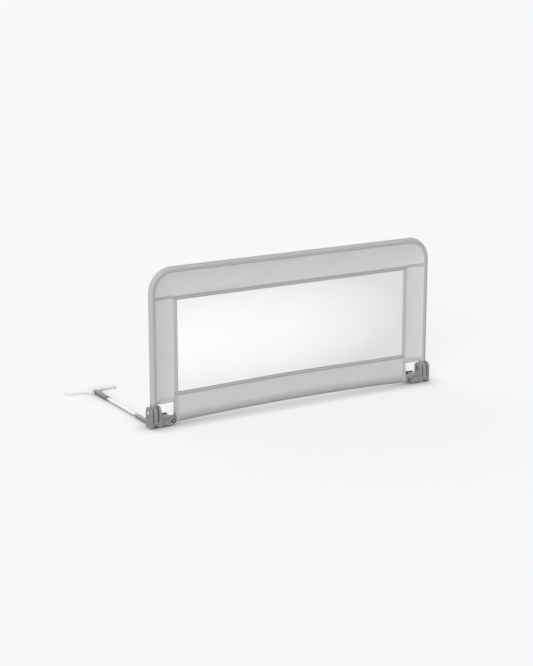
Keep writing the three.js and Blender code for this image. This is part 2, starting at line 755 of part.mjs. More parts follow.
// The cross foot: a thin tray with a hub in front that takes the sleeve's spigot.
function footPlate() {
  const front = footMiddle - footDepth / 2;
  const half = footLength / 2;
  const plate = plateZ(roundedRectangle(-half, half, front, armReach, footCorner), 0, footThickness);
  const hubFront = footSleeveEnd + fit;
  const hub = plateZ(
    roundedRectangle(-hubHalfWidth, hubHalfWidth, hubFront, front + hubLap, hubCorner),
    0,
    hubHeight,
  );
  const boreEnd = footSleeveEnd + spigotLength + fit;
  const bore = barY(spigotRadius + fit, footSleeveEnd - overrun, boreEnd, 0, armAxis, roundSides);
  let body = plate.add(hub).subtract(bore).subtract(footScrewHole(footScrewRadius + fit));
  const pocketStart = hubHalfWidth + footWall;
  const pocketEnd = half - footCorner;
  const pocketMiddle = (pocketStart + pocketEnd) / 2;
  for (const side of [-1, 1]) {
    for (const [a, b] of [
      [pocketStart, pocketMiddle - footWall / 2],
      [pocketMiddle + footWall / 2, pocketEnd],
    ]) {
      const low = Math.min(side * a, side * b);
      const high = Math.max(side * a, side * b);
      const roof = footThickness - footWall;
      body = body.subtract(block(low, high, front + footWall, armReach - footWall, -overrun, roof));
    }
  }
  return body;
}

function footScrew() {
  const y = footSleeveEnd + spigotLength / 2;
  const shank = barZ(footScrewRadius, armAxis - spigotRadius / 2 + fit, hubHeight + fit, 0, y);
  return shank.add(barZ(footScrewHead, hubHeight + fit, hubHeight + fit + footScrewHeadHeight, 0, y));
}

// The latch grip: a round bar behind the box, joined by its neck to the carriage inside.
function latchGrip() {
  const profile = [
    [0, 0],
    [gripRadius - gripCrown, 0],
    [gripRadius, gripCrown],
    [gripRadius, gripLength - gripCrown],
    [gripRadius - gripCrown, gripLength],
    [0, gripLength],
  ].map(([r, h]) => new THREE.Vector2(r, h));
  const turned = new THREE.LatheGeometry(profile, roundSides).rotateZ(-quarterTurn);
  const bar = solid(turned.translate(gripStart, gripAxis, gripHeight));
  const neck = block(
    carriageStart + slotSide,
    carriageEnd,
    plungerBehind,
    gripAxis,
    carriageTop - neckHeight,
    carriageTop,
  );
  const carriage = block(
    carriageStart,
    carriageEnd,
    plungerBehind - carriageHalf,
    plungerBehind + carriageHalf,
    plungerHeight - carriageHalf,
    carriageTop,
  );
  const bore = barX(
    plungerRadius + fit,
    carriageStart - overrun,
    carriageEnd + overrun,
    plungerBehind,
    plungerHeight,
  );
  return bar.add(neck).add(carriage).subtract(bore);
}

function latchPlunger() {
  return barX(plungerRadius, earInside, plungerEnd, plungerBehind, plungerHeight);
}

// The coil's line between the carriage and the box's end wall.
class Helix extends THREE.Curve {
  getPoint(t, target = new THREE.Vector3()) {
    const start = carriageEnd + fit + coilWire;
    const end = boxSpaceEnd - fit - coilWire;
    const angle = t * coilTurns * Math.PI * 2;
    return target.set(
      THREE.MathUtils.lerp(start, end, t),
      plungerBehind + coilRadius * Math.cos(angle),
      plungerHeight + coilRadius * Math.sin(angle),
    );
  }
}

function latchSpring() {
  return barAlong(new Helix(), coilTurns * coilSteps, coilWire, coilSides);
}

// The bottom tube, drilled at both ends for its bolts.
function bottomTube() {
  const inside = bottomTubeRadius - bottomTubeWall;
  const outer = barAlong(new BowedLine(bottomTubeHalf), bowSteps, bottomTubeRadius, bowSides);
  const inner = barAlong(new BowedLine(bottomTubeHalf + overrun), bowSteps, inside, bowSides);
  let tube = outer.subtract(inner);
  for (const side of [-1, 1]) {
    const x = side * (halfSpacing - boltAlong);
    tube = tube.subtract(barY(boltRadius + fit, -bossFront, bossFront, x, bottomTubeHeight));
  }
  return tube;
}

function lugRing() {
  const back = -bossFront - fit;
  const front = back - boltRingHeight;
  const ring = barY(boltRingRadius, front, back, boltAlong, bottomTubeHeight, roundSides);
  const hole = barY(boltHeadRadius + fit, front - overrun, back + overrun, boltAlong, bottomTubeHeight);
  return ring.subtract(hole);
}

function lugBolt() {
  const face = -bossFront - fit;
  const head = barY(boltHeadRadius, face - boltHeadHeight, face, boltAlong, bottomTubeHeight);
  return head.add(barY(boltRadius, face - fit, lugRadius + nutHeight, boltAlong, bottomTubeHeight));
}

function lugNut() {
  const start = lugRadius + fit;
  const end = start + nutHeight;
  const nut = barY(nutRadius, start, end, boltAlong, bottomTubeHeight, 6);
  return nut.subtract(barY(boltRadius + fit, start - overrun, end + overrun, boltAlong, bottomTubeHeight));
}

// The cover's sleeve round the whole bent tube.
function coverSleeve() {
  const run = wholeRun(sleeveBottom);
  return pipeAlong(run, wholeRun(sleeveBottom - overrun), sleeveOuter, sleeveInner, roundSides);
}

// The panel under the top tube, with a folded hem along the window.
function coverTopBand() {
  const edge = halfSpacing - panelEdge;
  const top = topTubeHeight - panelEdge;
  const corner = bendRadius - panelEdge;
  const shape = new THREE.Shape();
  shape.moveTo(-edge, windowTop);
  shape.lineTo(edge, windowTop);
  shape.lineTo(edge, top - corner);
  shape.absarc(edge - corner, top - corner, corner, 0, quarterTurn, false);
  shape.lineTo(-edge + corner, top);
  shape.absarc(-edge + corner, top - corner, corner, quarterTurn, Math.PI, false);
  shape.closePath();
  const hem = block(-edge, edge, -hemHalf, hemHalf, windowTop, windowTop + hemWidth);
  // An arc is cut into twice the segments asked for, so this matches the sleeve's steps round the bend.
  return plateY(shape, -panelHalf, panelHalf, bendSteps / 2).add(hem);
}

// The panel beside the window, cut away at its foot for the bottom strip and the knuckle's rim.
function coverSideBand() {
  const outer = -halfSpacing + panelEdge;
  const top = windowTop - fit;
  const body = block(outer, -windowHalf, -panelHalf, panelHalf, sideBandBottom, top);
  const windowHem = block(-windowHalf - hemWidth, -windowHalf, -hemHalf, hemHalf, sideBandBottom, top);
  const footHem = block(outer, -windowHalf, -hemHalf, hemHalf, sideBandBottom, sideBandBottom + hemWidth / 2);
  const room = block(
    -stripHalf - joinGap,
    0,
    -hemHalf - overrun,
    hemHalf + overrun,
    sideBandBottom - overrun,
    windowBottom + joinGap,
  );
  const rimRoom = block(
    outer - overrun,
    -halfSpacing + knuckleRadius + fit,
    -hemHalf - overrun,
    hemHalf + overrun,
    sideBandBottom - overrun,
    pivotHeight + knuckleCollar + fit,
  );
  return body.add(windowHem).add(footHem).subtract(room).subtract(rimRoom);
}

function coverMesh() {
  const outline = outlineBetween(
    windowHalf - fit,
    () => windowTop - fit,
    (x) => windowLine(x) + joinGap,
  );
  return plateY(outline, -meshHalf, meshHalf);
}

// The strip along the bottom: a panel with hems, ending in a sleeve round the bowed tube.
function coverStrip() {
  const sleeveMiddle = bottomTubeRadius + fit + fabric / 2;
  const panel = plateY(
    outlineBetween(stripHalf, windowLine, (x) => bowHeight(x) + sleeveMiddle),
    -panelHalf,
    panelHalf,
  );
  const topHem = plateY(
    outlineBetween(stripHalf, windowLine, (x) => windowLine(x) - hemWidth),
    -hemHalf,
    hemHalf,
  );
  const bowedBody = barAlong(new BowedLine(stripHalf), bowSteps, sleeveMiddle + fabric / 2, bowSides);
  const room = barAlong(new BowedLine(bottomTubeHalf), bowSteps, bottomTubeRadius + fit, bowSides);
  return panel.add(topHem).add(bowedBody).subtract(room);
}

// Puts a named mesh into a group.
function place(group, name, made, material, x = 0) {
  const mesh = new THREE.Mesh(geometryOf(made), material);
  mesh.name = name;
  mesh.position.x = x;
  group.add(mesh);
}

// Everything that a hinge has, built once for each side.
function hinge(group, side) {
  place(group, `bracket_${side}`, bracket(), greyPlastic);
  place(group, `knuckle_${side}`, knuckle(), greyPlastic);
  place(group, `pivot_pin_${side}`, pivotPin(), brightSteel);
  place(group, `pivot_clip_${side}`, pivotClip(), darkPlastic);
  place(group, `latch_cover_${side}`, latchCover(), greyPlastic);
  place(group, `latch_cover_screw_${side}`, coverScrew(), brightSteel);
  place(group, `latch_grip_${side}`, latchGrip(), darkPlastic);
  place(group, `latch_plunger_${side}`, latchPlunger(), brightSteel);
  place(group, `latch_spring_${side}`, latchSpring(), brightSteel);
  place(group, `lug_ring_${side}`, lugRing(), darkPlastic);
  place(group, `lug_bolt_${side}`, lugBolt(), brightSteel);
  place(group, `lug_nut_${side}`, lugNut(), brightSteel);
}

function arm(group, side) {
  place(group, `arm_tube_${side}`, armTube(), whitePaint);
  place(group, `arm_button_${side}`, armButton(), brightSteel);
  place(group, `arm_button_spring_${side}`, buttonSpring(), brightSteel);
  place(group, `foot_sleeve_${side}`, footSleeve(), greyPlastic);
  place(group, `foot_plate_${side}`, footPlate(), whitePlastic);
  place(group, `foot_screw_${side}`, footScrew(), brightSteel);
}

const rail = new THREE.Group();
rail.position.y = guardPlane;

for (const [side, mirror] of [
  ["left", 1],
  ["right", -1],
]) {
  const corner = new THREE.Group(); // the hinge and arm, placed on their upright's axis
  corner.position.x = -mirror * halfSpacing;
  corner.scale.x = mirror;
  hinge(corner, side);
  arm(corner, side);

  const half = new THREE.Group(); // the pieces drawn in the middle of the rail, mirrored for the right
  half.scale.x = mirror;
  place(half, `upper_tube_${side}`, upperTube(), whitePaint);
  place(half, `joiner_rivet_${side}`, joinerRivet(), brightSteel, -rivetInset);
  place(half, `cover_side_band_${side}`, coverSideBand(), greyFabric);
  rail.add(corner, half);
}

place(rail, "tube_joiner", tubeJoiner(), brightSteel);
place(rail, "bottom_tube", bottomTube(), whitePaint);
place(rail, "cover_sleeve", coverSleeve(), greyFabric);
place(rail, "cover_top_band", coverTopBand(), greyFabric);
place(rail, "cover_mesh", coverMesh(), whiteMesh);
place(rail, "cover_bottom_strip", coverStrip(), greyFabric);

export default rail;
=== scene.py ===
from math import cos, exp, hypot, pi, radians, sin, sqrt

import bpy
import numpy as np
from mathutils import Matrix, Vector, noise


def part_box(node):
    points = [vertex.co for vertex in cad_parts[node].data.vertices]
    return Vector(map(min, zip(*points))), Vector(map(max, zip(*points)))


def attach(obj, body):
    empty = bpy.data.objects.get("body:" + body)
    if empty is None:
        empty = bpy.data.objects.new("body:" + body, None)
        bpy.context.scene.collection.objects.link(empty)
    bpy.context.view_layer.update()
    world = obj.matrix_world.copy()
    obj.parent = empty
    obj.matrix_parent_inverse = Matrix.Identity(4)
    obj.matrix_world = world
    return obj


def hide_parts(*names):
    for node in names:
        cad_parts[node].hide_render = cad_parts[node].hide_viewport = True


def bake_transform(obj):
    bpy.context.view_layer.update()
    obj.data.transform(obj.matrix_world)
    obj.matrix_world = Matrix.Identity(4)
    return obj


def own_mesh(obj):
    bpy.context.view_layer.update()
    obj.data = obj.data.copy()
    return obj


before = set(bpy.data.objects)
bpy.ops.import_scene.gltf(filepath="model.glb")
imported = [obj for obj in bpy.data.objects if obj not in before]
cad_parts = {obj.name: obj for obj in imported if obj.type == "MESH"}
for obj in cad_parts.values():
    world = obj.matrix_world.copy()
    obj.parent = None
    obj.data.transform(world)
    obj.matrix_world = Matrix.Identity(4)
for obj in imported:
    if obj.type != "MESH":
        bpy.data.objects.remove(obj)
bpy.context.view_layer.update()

bpy.ops.object.select_all(action="DESELECT")

# Where the CAD model has the cover and its tubes
SLEEVE_LOW, SLEEVE_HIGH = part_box("cover_sleeve")
TOP_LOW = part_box("cover_top_band")[0]
SIDE_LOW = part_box("cover_side_band_right")[0]
STRIP_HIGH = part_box("cover_bottom_strip")[1]
PLANE = (SLEEVE_LOW[1] + SLEEVE_HIGH[1]) / 2
SLEEVE_RADIUS = (SLEEVE_HIGH[1] - SLEEVE_LOW[1]) / 2
UPRIGHT = SLEEVE_HIGH[0] - SLEEVE_RADIUS
TOP_AXIS = SLEEVE_HIGH[2] - SLEEVE_RADIUS
BEND = 0.072  # radius of the tube's bends, along its axis
WINDOW_HALF = SIDE_LOW[0]
WINDOW_TOP = TOP_LOW[2]
WINDOW_BOW = 0.005  # the strip's upper edge rises by this much in the middle
STRIP_HALF = STRIP_HIGH[0]
STRIP_TOP = STRIP_HIGH[2]
STRIP_ENDS_TOP = STRIP_TOP - WINDOW_BOW
BOTTOM_AXIS = 0.017
BOW = 0.0094  # the bottom tube's middle lies this much higher than its ends
STRIP_RADIUS = 0.0091
JOIN = 0.0006  # gap between the strip and the panels beside it
RIM_ROOM = 0.0128  # from an upright's axis to the foot of the side panels, past the knuckle's rim
HANDS = (("left", -1), ("right", 1))
FACES = ((-1, "front"), (1, "back"))

# The photograph's view
VIEW_AZIMUTH = radians(-30.71)
VIEW_ELEVATION = radians(14.383)
VIEW_DISTANCE = 5.404
VIEW_TARGET = Vector((-0.1107, PLANE, 0.263))
FOCAL_PIXELS = 1606.6
IMAGE_HEIGHT = 666
SENSOR = 36

# Light
WORLD_STRENGTH = 0.6
LAMPS = {  # each lamp's strength and spread, its angle from the zenith, and its turn round it
    "key_light": (2.75, radians(50), radians(77), radians(-40)),
    "fill_light": (1.75, radians(80), radians(80), radians(192)),
}
FLOOR_SIZE = 120
FLOOR_DROP = 0.0002
FLOOR_NOISE = (0.4, 2.0)
FLOOR_ROUGHNESS = 0.9
FLOOR_LIFT = 0.52  # the floor shows this much lighter than it is lit, except close to the object
CONTACT_REACH = 0.065  # what lies nearer than this darkens the floor, as a painted contact shadow
CONTACT_POWER = 1.8
CONTACT_SAMPLES = 4

# Surfaces. A noise is its scale, per metre, and its detail.
NOISE_MIDDLE = 0.5
GRAIN_DETAIL = 3.0
TONE_NOISE = (22.0, 4.0)
WEAR_NOISE = (180.0, 4.0)
WEAR_SPAN = (0.35, 0.65)
LEAST_WEAR = 0.2
RIDGE_SPAN = (0.52, 0.6)  # pointiness of the edges that are rubbed
HOLLOW_SPAN = (0.46, 0.38)  # pointiness of the hollows that get painted shade
HOLLOW_SHARE = 0.8
SLUB_NOISE = (900.0, 2.0)
CLOUD_NOISE = (30.0, 4.0)
WEAVE_SHARE = 0.35
WEAVE_ROUGHNESS = (0.92, 0.8)
CLOTH_SPECULAR = 0.2
SHEEN = 0.08
SHEEN_ROUGHNESS = 0.5
LINE_WIDTH = 0.0018
CELL_RIM = 0.12
NET_DEPTH = 0.0002
NET_ROUGHNESS = 0.85
NET_EDGE_SHARE = 0.45
NET_SIDE_POWER = 2.7
TUBE_SHADE_SHARES = (1.2, 4.2)  # where the strip's shade starts and ends, as shares of its tube's radius
STEEL_NOISE = (900.0, 3.0)
STEEL_SPAN = (0.3, 0.7)
STEEL_ROUGHNESS = (0.22, 0.38)
STEEL_DEPTH = 0.00002

# Hardware
SHARP = radians(32)  # edges that turn by more than this are rounded
MERGE_DISTANCE = 0.00002
FLAT_ANGLE = radians(1)
SOCKET_RIM = 0.002
SOCKET_SLOPE = 0.0003
SOCKET_DEPTH = 0.001
HEAD_FACING_SHARE = 0.99

# The cover's cloth and its seam along the front and the back of the tube
CLOTH = 0.0008
CLOTH_SMOOTHING = radians(50)
SLEEVE_MIDDLE = SLEEVE_RADIUS - CLOTH / 2
SEAM_ANGLE = radians(78)  # round the tube, from its inner side
SEAM_GAP = SLEEVE_MIDDLE * cos(SEAM_ANGLE)
SEAM_RISE = SLEEVE_MIDDLE * sin(SEAM_ANGLE)
PANEL_HALF = 0.0011  # from the guard's plane to the sheets where they meet
LONG_LAY = 0.074  # from the tube's axis to where the sheets meet
SHORT_LAY = 0.0135  # the same at the foot of the side panels
LAY_RISE = 0.026
LAY_POWER = 2
FOOT_RING = 0.006

# Hems, tapes and stitches
HEM = 0.013
HEM_FOLD = 0.0008
HEM_LIFT = 0.0007
HEM_ROW = 0.0024
HEM_ROWS = (HEM_ROW, HEM - HEM_ROW)
HEM_COLUMNS = 6
EDGE_SHARE = 0.45  # how far a hem's rim stands up, beside its middle
HEM_LIFTS = [HEM_LIFT * EDGE_SHARE] + [HEM_LIFT] * (HEM_COLUMNS - 1)
FOLD_SHARE = 0.75
FOLD_STEPS = ((-FOLD_SHARE, HEM_FOLD / 2), (0.0, HEM_FOLD), (FOLD_SHARE, HEM_FOLD / 2))  # across and outwards
FOOT_HEM = 0.015
FOOT_ROW = 0.0026
FOOT_ROWS = (FOOT_ROW, FOOT_HEM - FOOT_ROW)
TAPE = 0.0105
TAPE_ROW = 0.0033
TAPE_COLUMNS = 7
TRIM_STEP = 0.005
STITCH_LIFT = HEM_LIFT + CLOTH / 2
STITCH_PITCH = 0.0036
STITCH_SHARES = np.array((0.1, 0.3, 0.7, 0.9))
THREAD_HALF = 0.00032

# Swells, folds and puckers of the cloth
SEED = 5.0
SEED_LEAN = 0.5
CALM = 0.015
SWELL = 0.0026
SWELL_SIZE = 0.12
SWELL_STRETCH = 1.5
FOLD = 0.0007
FOLD_SIZE = 0.04
PUCKER = 0.0004
PUCKER_SIZE = 0.008
PUCKER_REACH = 0.008
CREASE = 0.0007
CREASE_SIZE = 0.014
STRAIGHT_CREASE_SHARE = 0.35
BENT = 0.01  # the tube is in a bend where both parts of its inward direction reach this, multiplied
NET_SWELL = 0.0022
NET_FOLD = 0.0004
NET_CLOTH = 0.0004
NET_LAP = 0.005
STRIP_SWELL = 0.0016
STRIP_SWELL_SIZE = 0.09
STRIP_PULL = 0.0016
PULL_SIZE = 0.022
PULL_SLANT = 0.05
PULL_START_SHARE = 0.45

# How finely the cloth is divided
TUBE_STEP = 0.006
BEND_STEP = 0.003
SLEEVE_COLUMNS = 20
FOOT_RING_ROWS = 4
TOP_ROWS = 26
TOP_COLUMNS = 361
SIDE_CROWDING_SHARE = 0.35
SIDE_COLUMNS = (6, 22, 5)  # over the strip's end, beside it, and over the knuckle's rim
SIDE_ROWS = (3, 10, 96)  # below the sleeve's foot, beside the strip, and above it
NET_ROWS = 61
NET_COLUMNS = 161
STRIP_ROWS = 20
STRIP_COLUMNS = 241
STRIP_TURN = 15
END_HEM_COLUMNS = 5


def activate(obj):
    bpy.ops.object.select_all(action="DESELECT")
    obj.select_set(True)
    bpy.context.view_layer.objects.active = obj


def edit_whole(obj):
    activate(obj)
    bpy.ops.object.mode_set(mode="EDIT")
    bpy.ops.mesh.select_all(action="SELECT")


def add_object(name, data):
    obj = bpy.data.objects.new(name, data)
    bpy.context.scene.collection.objects.link(obj)
    return obj


# Camera


def make_camera():
    data = bpy.data.cameras.new("photo_view")
    data.sensor_width = SENSOR
    data.lens = FOCAL_PIXELS / IMAGE_HEIGHT * SENSOR
    camera = add_object("photo_view", data)
    away = Vector(
        (
            sin(VIEW_AZIMUTH) * cos(VIEW_ELEVATION),
            -cos(VIEW_AZIMUTH) * cos(VIEW_ELEVATION),
            sin(VIEW_ELEVATION),
        )
    )
    camera.location = VIEW_TARGET + away * VIEW_DISTANCE
    camera.rotation_euler = (-away).to_track_quat("-Z", "Y").to_euler()
    bpy.context.scene.camera = camera


# Shader building

FLOAT, COLOR, VECTOR = "NodeSocketFloat", "NodeSocketColor", "NodeSocketVector"
SURFACE = [("Color", COLOR), ("Roughness", FLOAT), ("Normal", VECTOR)]
MIX_INPUTS = (0, 6, 7)  # a mix node's sockets for a factor and two colours
MIX_OUTPUT = 2
WHITE = (1, 1, 1, 1)


def feed(tree, socket, value):
    """Sets a socket to a number or a colour, or links another socket to it."""
    if isinstance(value, (int, float, tuple)):
        socket.default_value = value
    else:
        tree.links.new(value, socket)


def new_group(name, inputs, outputs):
    group = bpy.data.node_groups.new(name, "ShaderNodeTree")
    for label, kind, default in inputs:
        socket = group.interface.new_socket(label, in_out="INPUT", socket_type=kind)
        if default is not None:
            socket.default_value = default
    for label, kind in outputs:
        group.interface.new_socket(label, in_out="OUTPUT", socket_type=kind)
    return group, group.nodes.new("NodeGroupInput"), group.nodes.new("NodeGroupOutput")


def place_node(tree, kind):
    return tree.nodes.new("ShaderNodeTexCoord").outputs[kind]


def split_node(tree, vector):
    node = tree.nodes.new("ShaderNodeSeparateXYZ")
    feed(tree, node.inputs[0], vector)
    return node.outputs


def math_node(tree, operation, first, second=None, clamp=False):
    node = tree.nodes.new("ShaderNodeMath")
    node.operation = operation
    node.use_clamp = clamp
    feed(tree, node.inputs[0], first)
    if second is not None:
        feed(tree, node.inputs[1], second)
    return node.outputs[0]


def noise_node(tree, vector, scale, detail):
    node = tree.nodes.new("ShaderNodeTexNoise")
    feed(tree, node.inputs["Vector"], vector)
    feed(tree, node.inputs["Scale"], scale)
    feed(tree, node.inputs["Detail"], detail)
    return node.outputs["Fac"]


def centred(tree, value):
    return math_node(tree, "SUBTRACT", value, NOISE_MIDDLE)


def mix_node(tree, factor, first, second):
    node = tree.nodes.new("ShaderNodeMix")
    node.data_type = "RGBA"
    for place, value in zip(MIX_INPUTS, (factor, first, second)):
        feed(tree, node.inputs[place], value)
    return node.outputs[MIX_OUTPUT]


def range_node(tree, value, span, target):
    """Maps a span of values to a target span, and holds them within it."""
    node = tree.nodes.new("ShaderNodeMapRange")
    labels = ("Value", "From Min", "From Max", "To Min", "To Max")
    for label, number in zip(labels, (value, *span, *target)):
        feed(tree, node.inputs[label], number)
    return node.outputs["Result"]


def shade_node(tree, color, value):
    """A colour made lighter or darker by a factor."""
    node = tree.nodes.new("ShaderNodeHueSaturation")
    feed(tree, node.inputs["Color"], color)
    feed(tree, node.inputs["Value"], value)
    return node.outputs["Color"]


def bump_node(tree, height, distance):
    node = tree.nodes.new("ShaderNodeBump")
    feed(tree, node.inputs["Height"], height)
    feed(tree, node.inputs["Distance"], distance)
    return node.outputs["Normal"]


def crossed_waves(tree, per_metre):
    """Waves along both directions of the cloth's own map, which is in metres, multiplied."""
    split = split_node(tree, place_node(tree, "UV"))
    angle = math_node(tree, "MULTIPLY", per_metre, pi)
    across = math_node(tree, "SINE", math_node(tree, "MULTIPLY", split["X"], angle))
    along = math_node(tree, "SINE", math_node(tree, "MULTIPLY", split["Y"], angle))
    return math_node(tree, "MULTIPLY", across, along)


def moulded_grain():
    """Fine spark-eroded grain with slow changes of tone, as moulded plastic and powder paint have."""
    group, start, end = new_group(
        "moulded_grain",
        [
            ("Color", COLOR, None),
            ("Spread", FLOAT, 0.04),
            ("Grain per Metre", FLOAT, 2500.0),
            ("Depth", FLOAT, 0.00004),
            ("Roughness", FLOAT, 0.5),
            ("Roughness Spread", FLOAT, 0.08),
        ],
        SURFACE,
    )
    given = start.outputs
    place = place_node(group, "Object")
    fine = noise_node(group, place, given["Grain per Metre"], GRAIN_DETAIL)
    broad = noise_node(group, place, *TONE_NOISE)
    tone = math_node(group, "ADD", centred(group, broad), centred(group, fine))
    value = math_node(group, "ADD", math_node(group, "MULTIPLY", tone, given["Spread"]), 1.0)
    rough = math_node(group, "MULTIPLY", centred(group, fine), given["Roughness Spread"])
    feed(group, end.inputs["Color"], shade_node(group, given["Color"], value))
    feed(group, end.inputs["Roughness"], math_node(group, "ADD", rough, given["Roughness"]))
    feed(group, end.inputs["Normal"], bump_node(group, fine, given["Depth"]))
    return group


def edge_wear_and_hollow_shade():
    """Rubbed edges, broken up by noise, and hollows darkened with painted shade."""
    group, start, end = new_group(
        "edge_wear_and_hollow_shade",
        [
            ("Color", COLOR, None),
            ("Worn Color", COLOR, None),
            ("Hollow Color", COLOR, None),
            ("Amount", FLOAT, 0.5),
        ],
        [("Color", COLOR), ("Mask", FLOAT)],
    )
    given = start.outputs
    edge = group.nodes.new("ShaderNodeNewGeometry").outputs["Pointiness"]
    spots = noise_node(group, place_node(group, "Object"), *WEAR_NOISE)
    breaks = range_node(group, spots, WEAR_SPAN, (LEAST_WEAR, 1.0))
    ridge = range_node(group, edge, RIDGE_SPAN, (0.0, 1.0))
    rubbed = math_node(group, "MULTIPLY", ridge, breaks)
    mask = math_node(group, "MULTIPLY", rubbed, given["Amount"], clamp=True)
    # Painted shade: hollows, found by their pointiness, are mixed towards the hollow colour
    hollow = range_node(group, edge, HOLLOW_SPAN, (0.0, HOLLOW_SHARE))
    base = mix_node(group, hollow, given["Color"], given["Hollow Color"])
    feed(group, end.inputs["Color"], mix_node(group, mask, base, given["Worn Color"]))
    feed(group, end.inputs["Mask"], mask)
    return group


def woven_cloth():
    """A plain weave that follows the cloth's own map, with slightly uneven threads."""
    group, start, end = new_group(
        "woven_cloth",
        [
            ("Color", COLOR, None),
            ("Threads per Metre", FLOAT, 1600.0),
            ("Depth", FLOAT, 0.00012),
            ("Spread", FLOAT, 0.05),
        ],
        SURFACE,
    )
    given = start.outputs
    weave = crossed_waves(group, given["Threads per Metre"])
    place = place_node(group, "UV")
    tone = math_node(group, "MULTIPLY", weave, WEAVE_SHARE)
    for scale, detail in (SLUB_NOISE, CLOUD_NOISE):
        tone = math_node(group, "ADD", tone, centred(group, noise_node(group, place, scale, detail)))
    value = math_node(group, "ADD", math_node(group, "MULTIPLY", tone, given["Spread"]), 1.0)
    height = range_node(group, weave, (-1.0, 1.0), (0.0, 1.0))
    feed(group, end.inputs["Color"], shade_node(group, given["Color"], value))
    feed(group, end.inputs["Roughness"], range_node(group, weave, (-1.0, 1.0), WEAVE_ROUGHNESS))
    feed(group, end.inputs["Normal"], bump_node(group, height, given["Depth"]))
    return group


def knitted_net():
    """A warp-knitted net: small open cells in staggered rows between fine threads."""
    group, start, end = new_group(
        "knitted_net",
        [("Cells per Metre", FLOAT, 520.0), ("Open Share", FLOAT, 0.16)],
        [("Alpha", FLOAT), ("Height", FLOAT)],
    )
    cell = math_node(group, "ABSOLUTE", crossed_waves(group, start.outputs["Cells per Metre"]))
    edge = math_node(group, "SUBTRACT", 1.0, start.outputs["Open Share"])
    soft = math_node(group, "ADD", edge, CELL_RIM)
    feed(group, end.inputs["Alpha"], range_node(group, cell, (edge, soft), (1.0, 0.0)))
    feed(group, end.inputs["Height"], math_node(group, "SUBTRACT", 1.0, cell))
    return group


def stitch_groove_shade():
    """Painted shade in the grooves where needles drew a hem's cloth down: two soft lines beside its edges, on
    the cloth's own map.
    """
    group, start, end = new_group(
        "stitch_groove_shade",
        [("First Line", FLOAT, HEM_ROW), ("Second Line", FLOAT, HEM - HEM_ROW), ("Width", FLOAT, LINE_WIDTH)],
        [("Mask", FLOAT)],
    )
    across = split_node(group, place_node(group, "UV"))["X"]
    masks = []
    for label in ("First Line", "Second Line"):
        off = math_node(group, "ABSOLUTE", math_node(group, "SUBTRACT", across, start.outputs[label]))
        share = math_node(group, "DIVIDE", off, start.outputs["Width"])
        masks.append(range_node(group, share, (0.0, 1.0), (1.0, 0.0)))
    feed(group, end.inputs["Mask"], math_node(group, "ADD", *masks, clamp=True))
    return group


def srgb(red, green, blue):
    """A colour as it looks on a screen, 0 to 255, turned into the linear values that shaders take."""

    def linear(value):
        share = value / 255
        return share / 12.92 if share <= 0.04045 else ((share + 0.055) / 1.055) ** 2.4

    return (linear(red), linear(green), linear(blue), 1.0)


def new_material(name):
    material = bpy.data.materials.new(name)
    material.use_nodes = True
    tree = material.node_tree
    return material, tree, tree.nodes["Principled BSDF"]


def use_group(tree, group, values):
    node = tree.nodes.new("ShaderNodeGroup")
    node.node_tree = group
    for label, value in values.items():
        feed(tree, node.inputs[label], value)
    return node


def dress_shader(tree, shader, surface, color):
    feed(tree, shader.inputs["Base Color"], color)
    for label in ("Roughness", "Normal"):
        feed(tree, shader.inputs[label], surface.outputs[label])


# hollow is the colour of the painted shade in a moulding's hollows
def moulded_plastic(name, color, worn, hollow, roughness, wear, grain=2500.0, depth=0.00004, spread=0.05):
    material, tree, shader = new_material(name)
    surface = use_group(
        tree,
        GRAIN,
        {"Color": color, "Spread": spread, "Grain per Metre": grain, "Depth": depth, "Roughness": roughness},
    )
    edges = use_group(
        tree,
        WEAR_AND_SHADE,
        {"Color": surface.outputs["Color"], "Worn Color": worn, "Hollow Color": hollow, "Amount": wear},
    )
    dress_shader(tree, shader, surface, edges.outputs["Color"])
    return material


def polyester(name, color, spread=0.05):
    """Woven cover cloth. Gives the material, its tree and the node that its colour goes into."""
    material, tree, shader = new_material(name)
    surface = use_group(tree, WEAVE, {"Color": color, "Spread": spread})
    dress_shader(tree, shader, surface, surface.outputs["Color"])
    shader.inputs["Sheen Weight"].default_value = SHEEN
    shader.inputs["Sheen Roughness"].default_value = SHEEN_ROUGHNESS
    shader.inputs["Specular IOR Level"].default_value = CLOTH_SPECULAR
    return material, tree, surface


def plain_cloth(name, color, spread=0.05):
    return polyester(name, color, spread)[0]


def hem_cloth(name, color, dark, first, second):
    """Doubled cloth with painted shade: darker along its two rows of stitches."""
    material, tree, surface = polyester(name, color)
    lines = use_group(tree, LINES, {"First Line": first, "Second Line": second})
    feed(tree, surface.inputs["Color"], mix_node(tree, lines.outputs["Mask"], color, dark))
    return material


def strip_cloth(name, color, dark):
    """Cloth with painted shade: darker where the bottom tube lies behind it, towards the strip's lower edge.
    """
    material, tree, surface = polyester(name, color)
    low = math_node(tree, "ABSOLUTE", split_node(tree, place_node(tree, "UV"))["X"])
    span = [STRIP_RADIUS * share for share in TUBE_SHADE_SHARES]
    # Painted shade over the tube, fading out upwards
    shade = range_node(tree, low, span, (1.0, 0.0))
    feed(tree, surface.inputs["Color"], mix_node(tree, shade, color, dark))
    return material


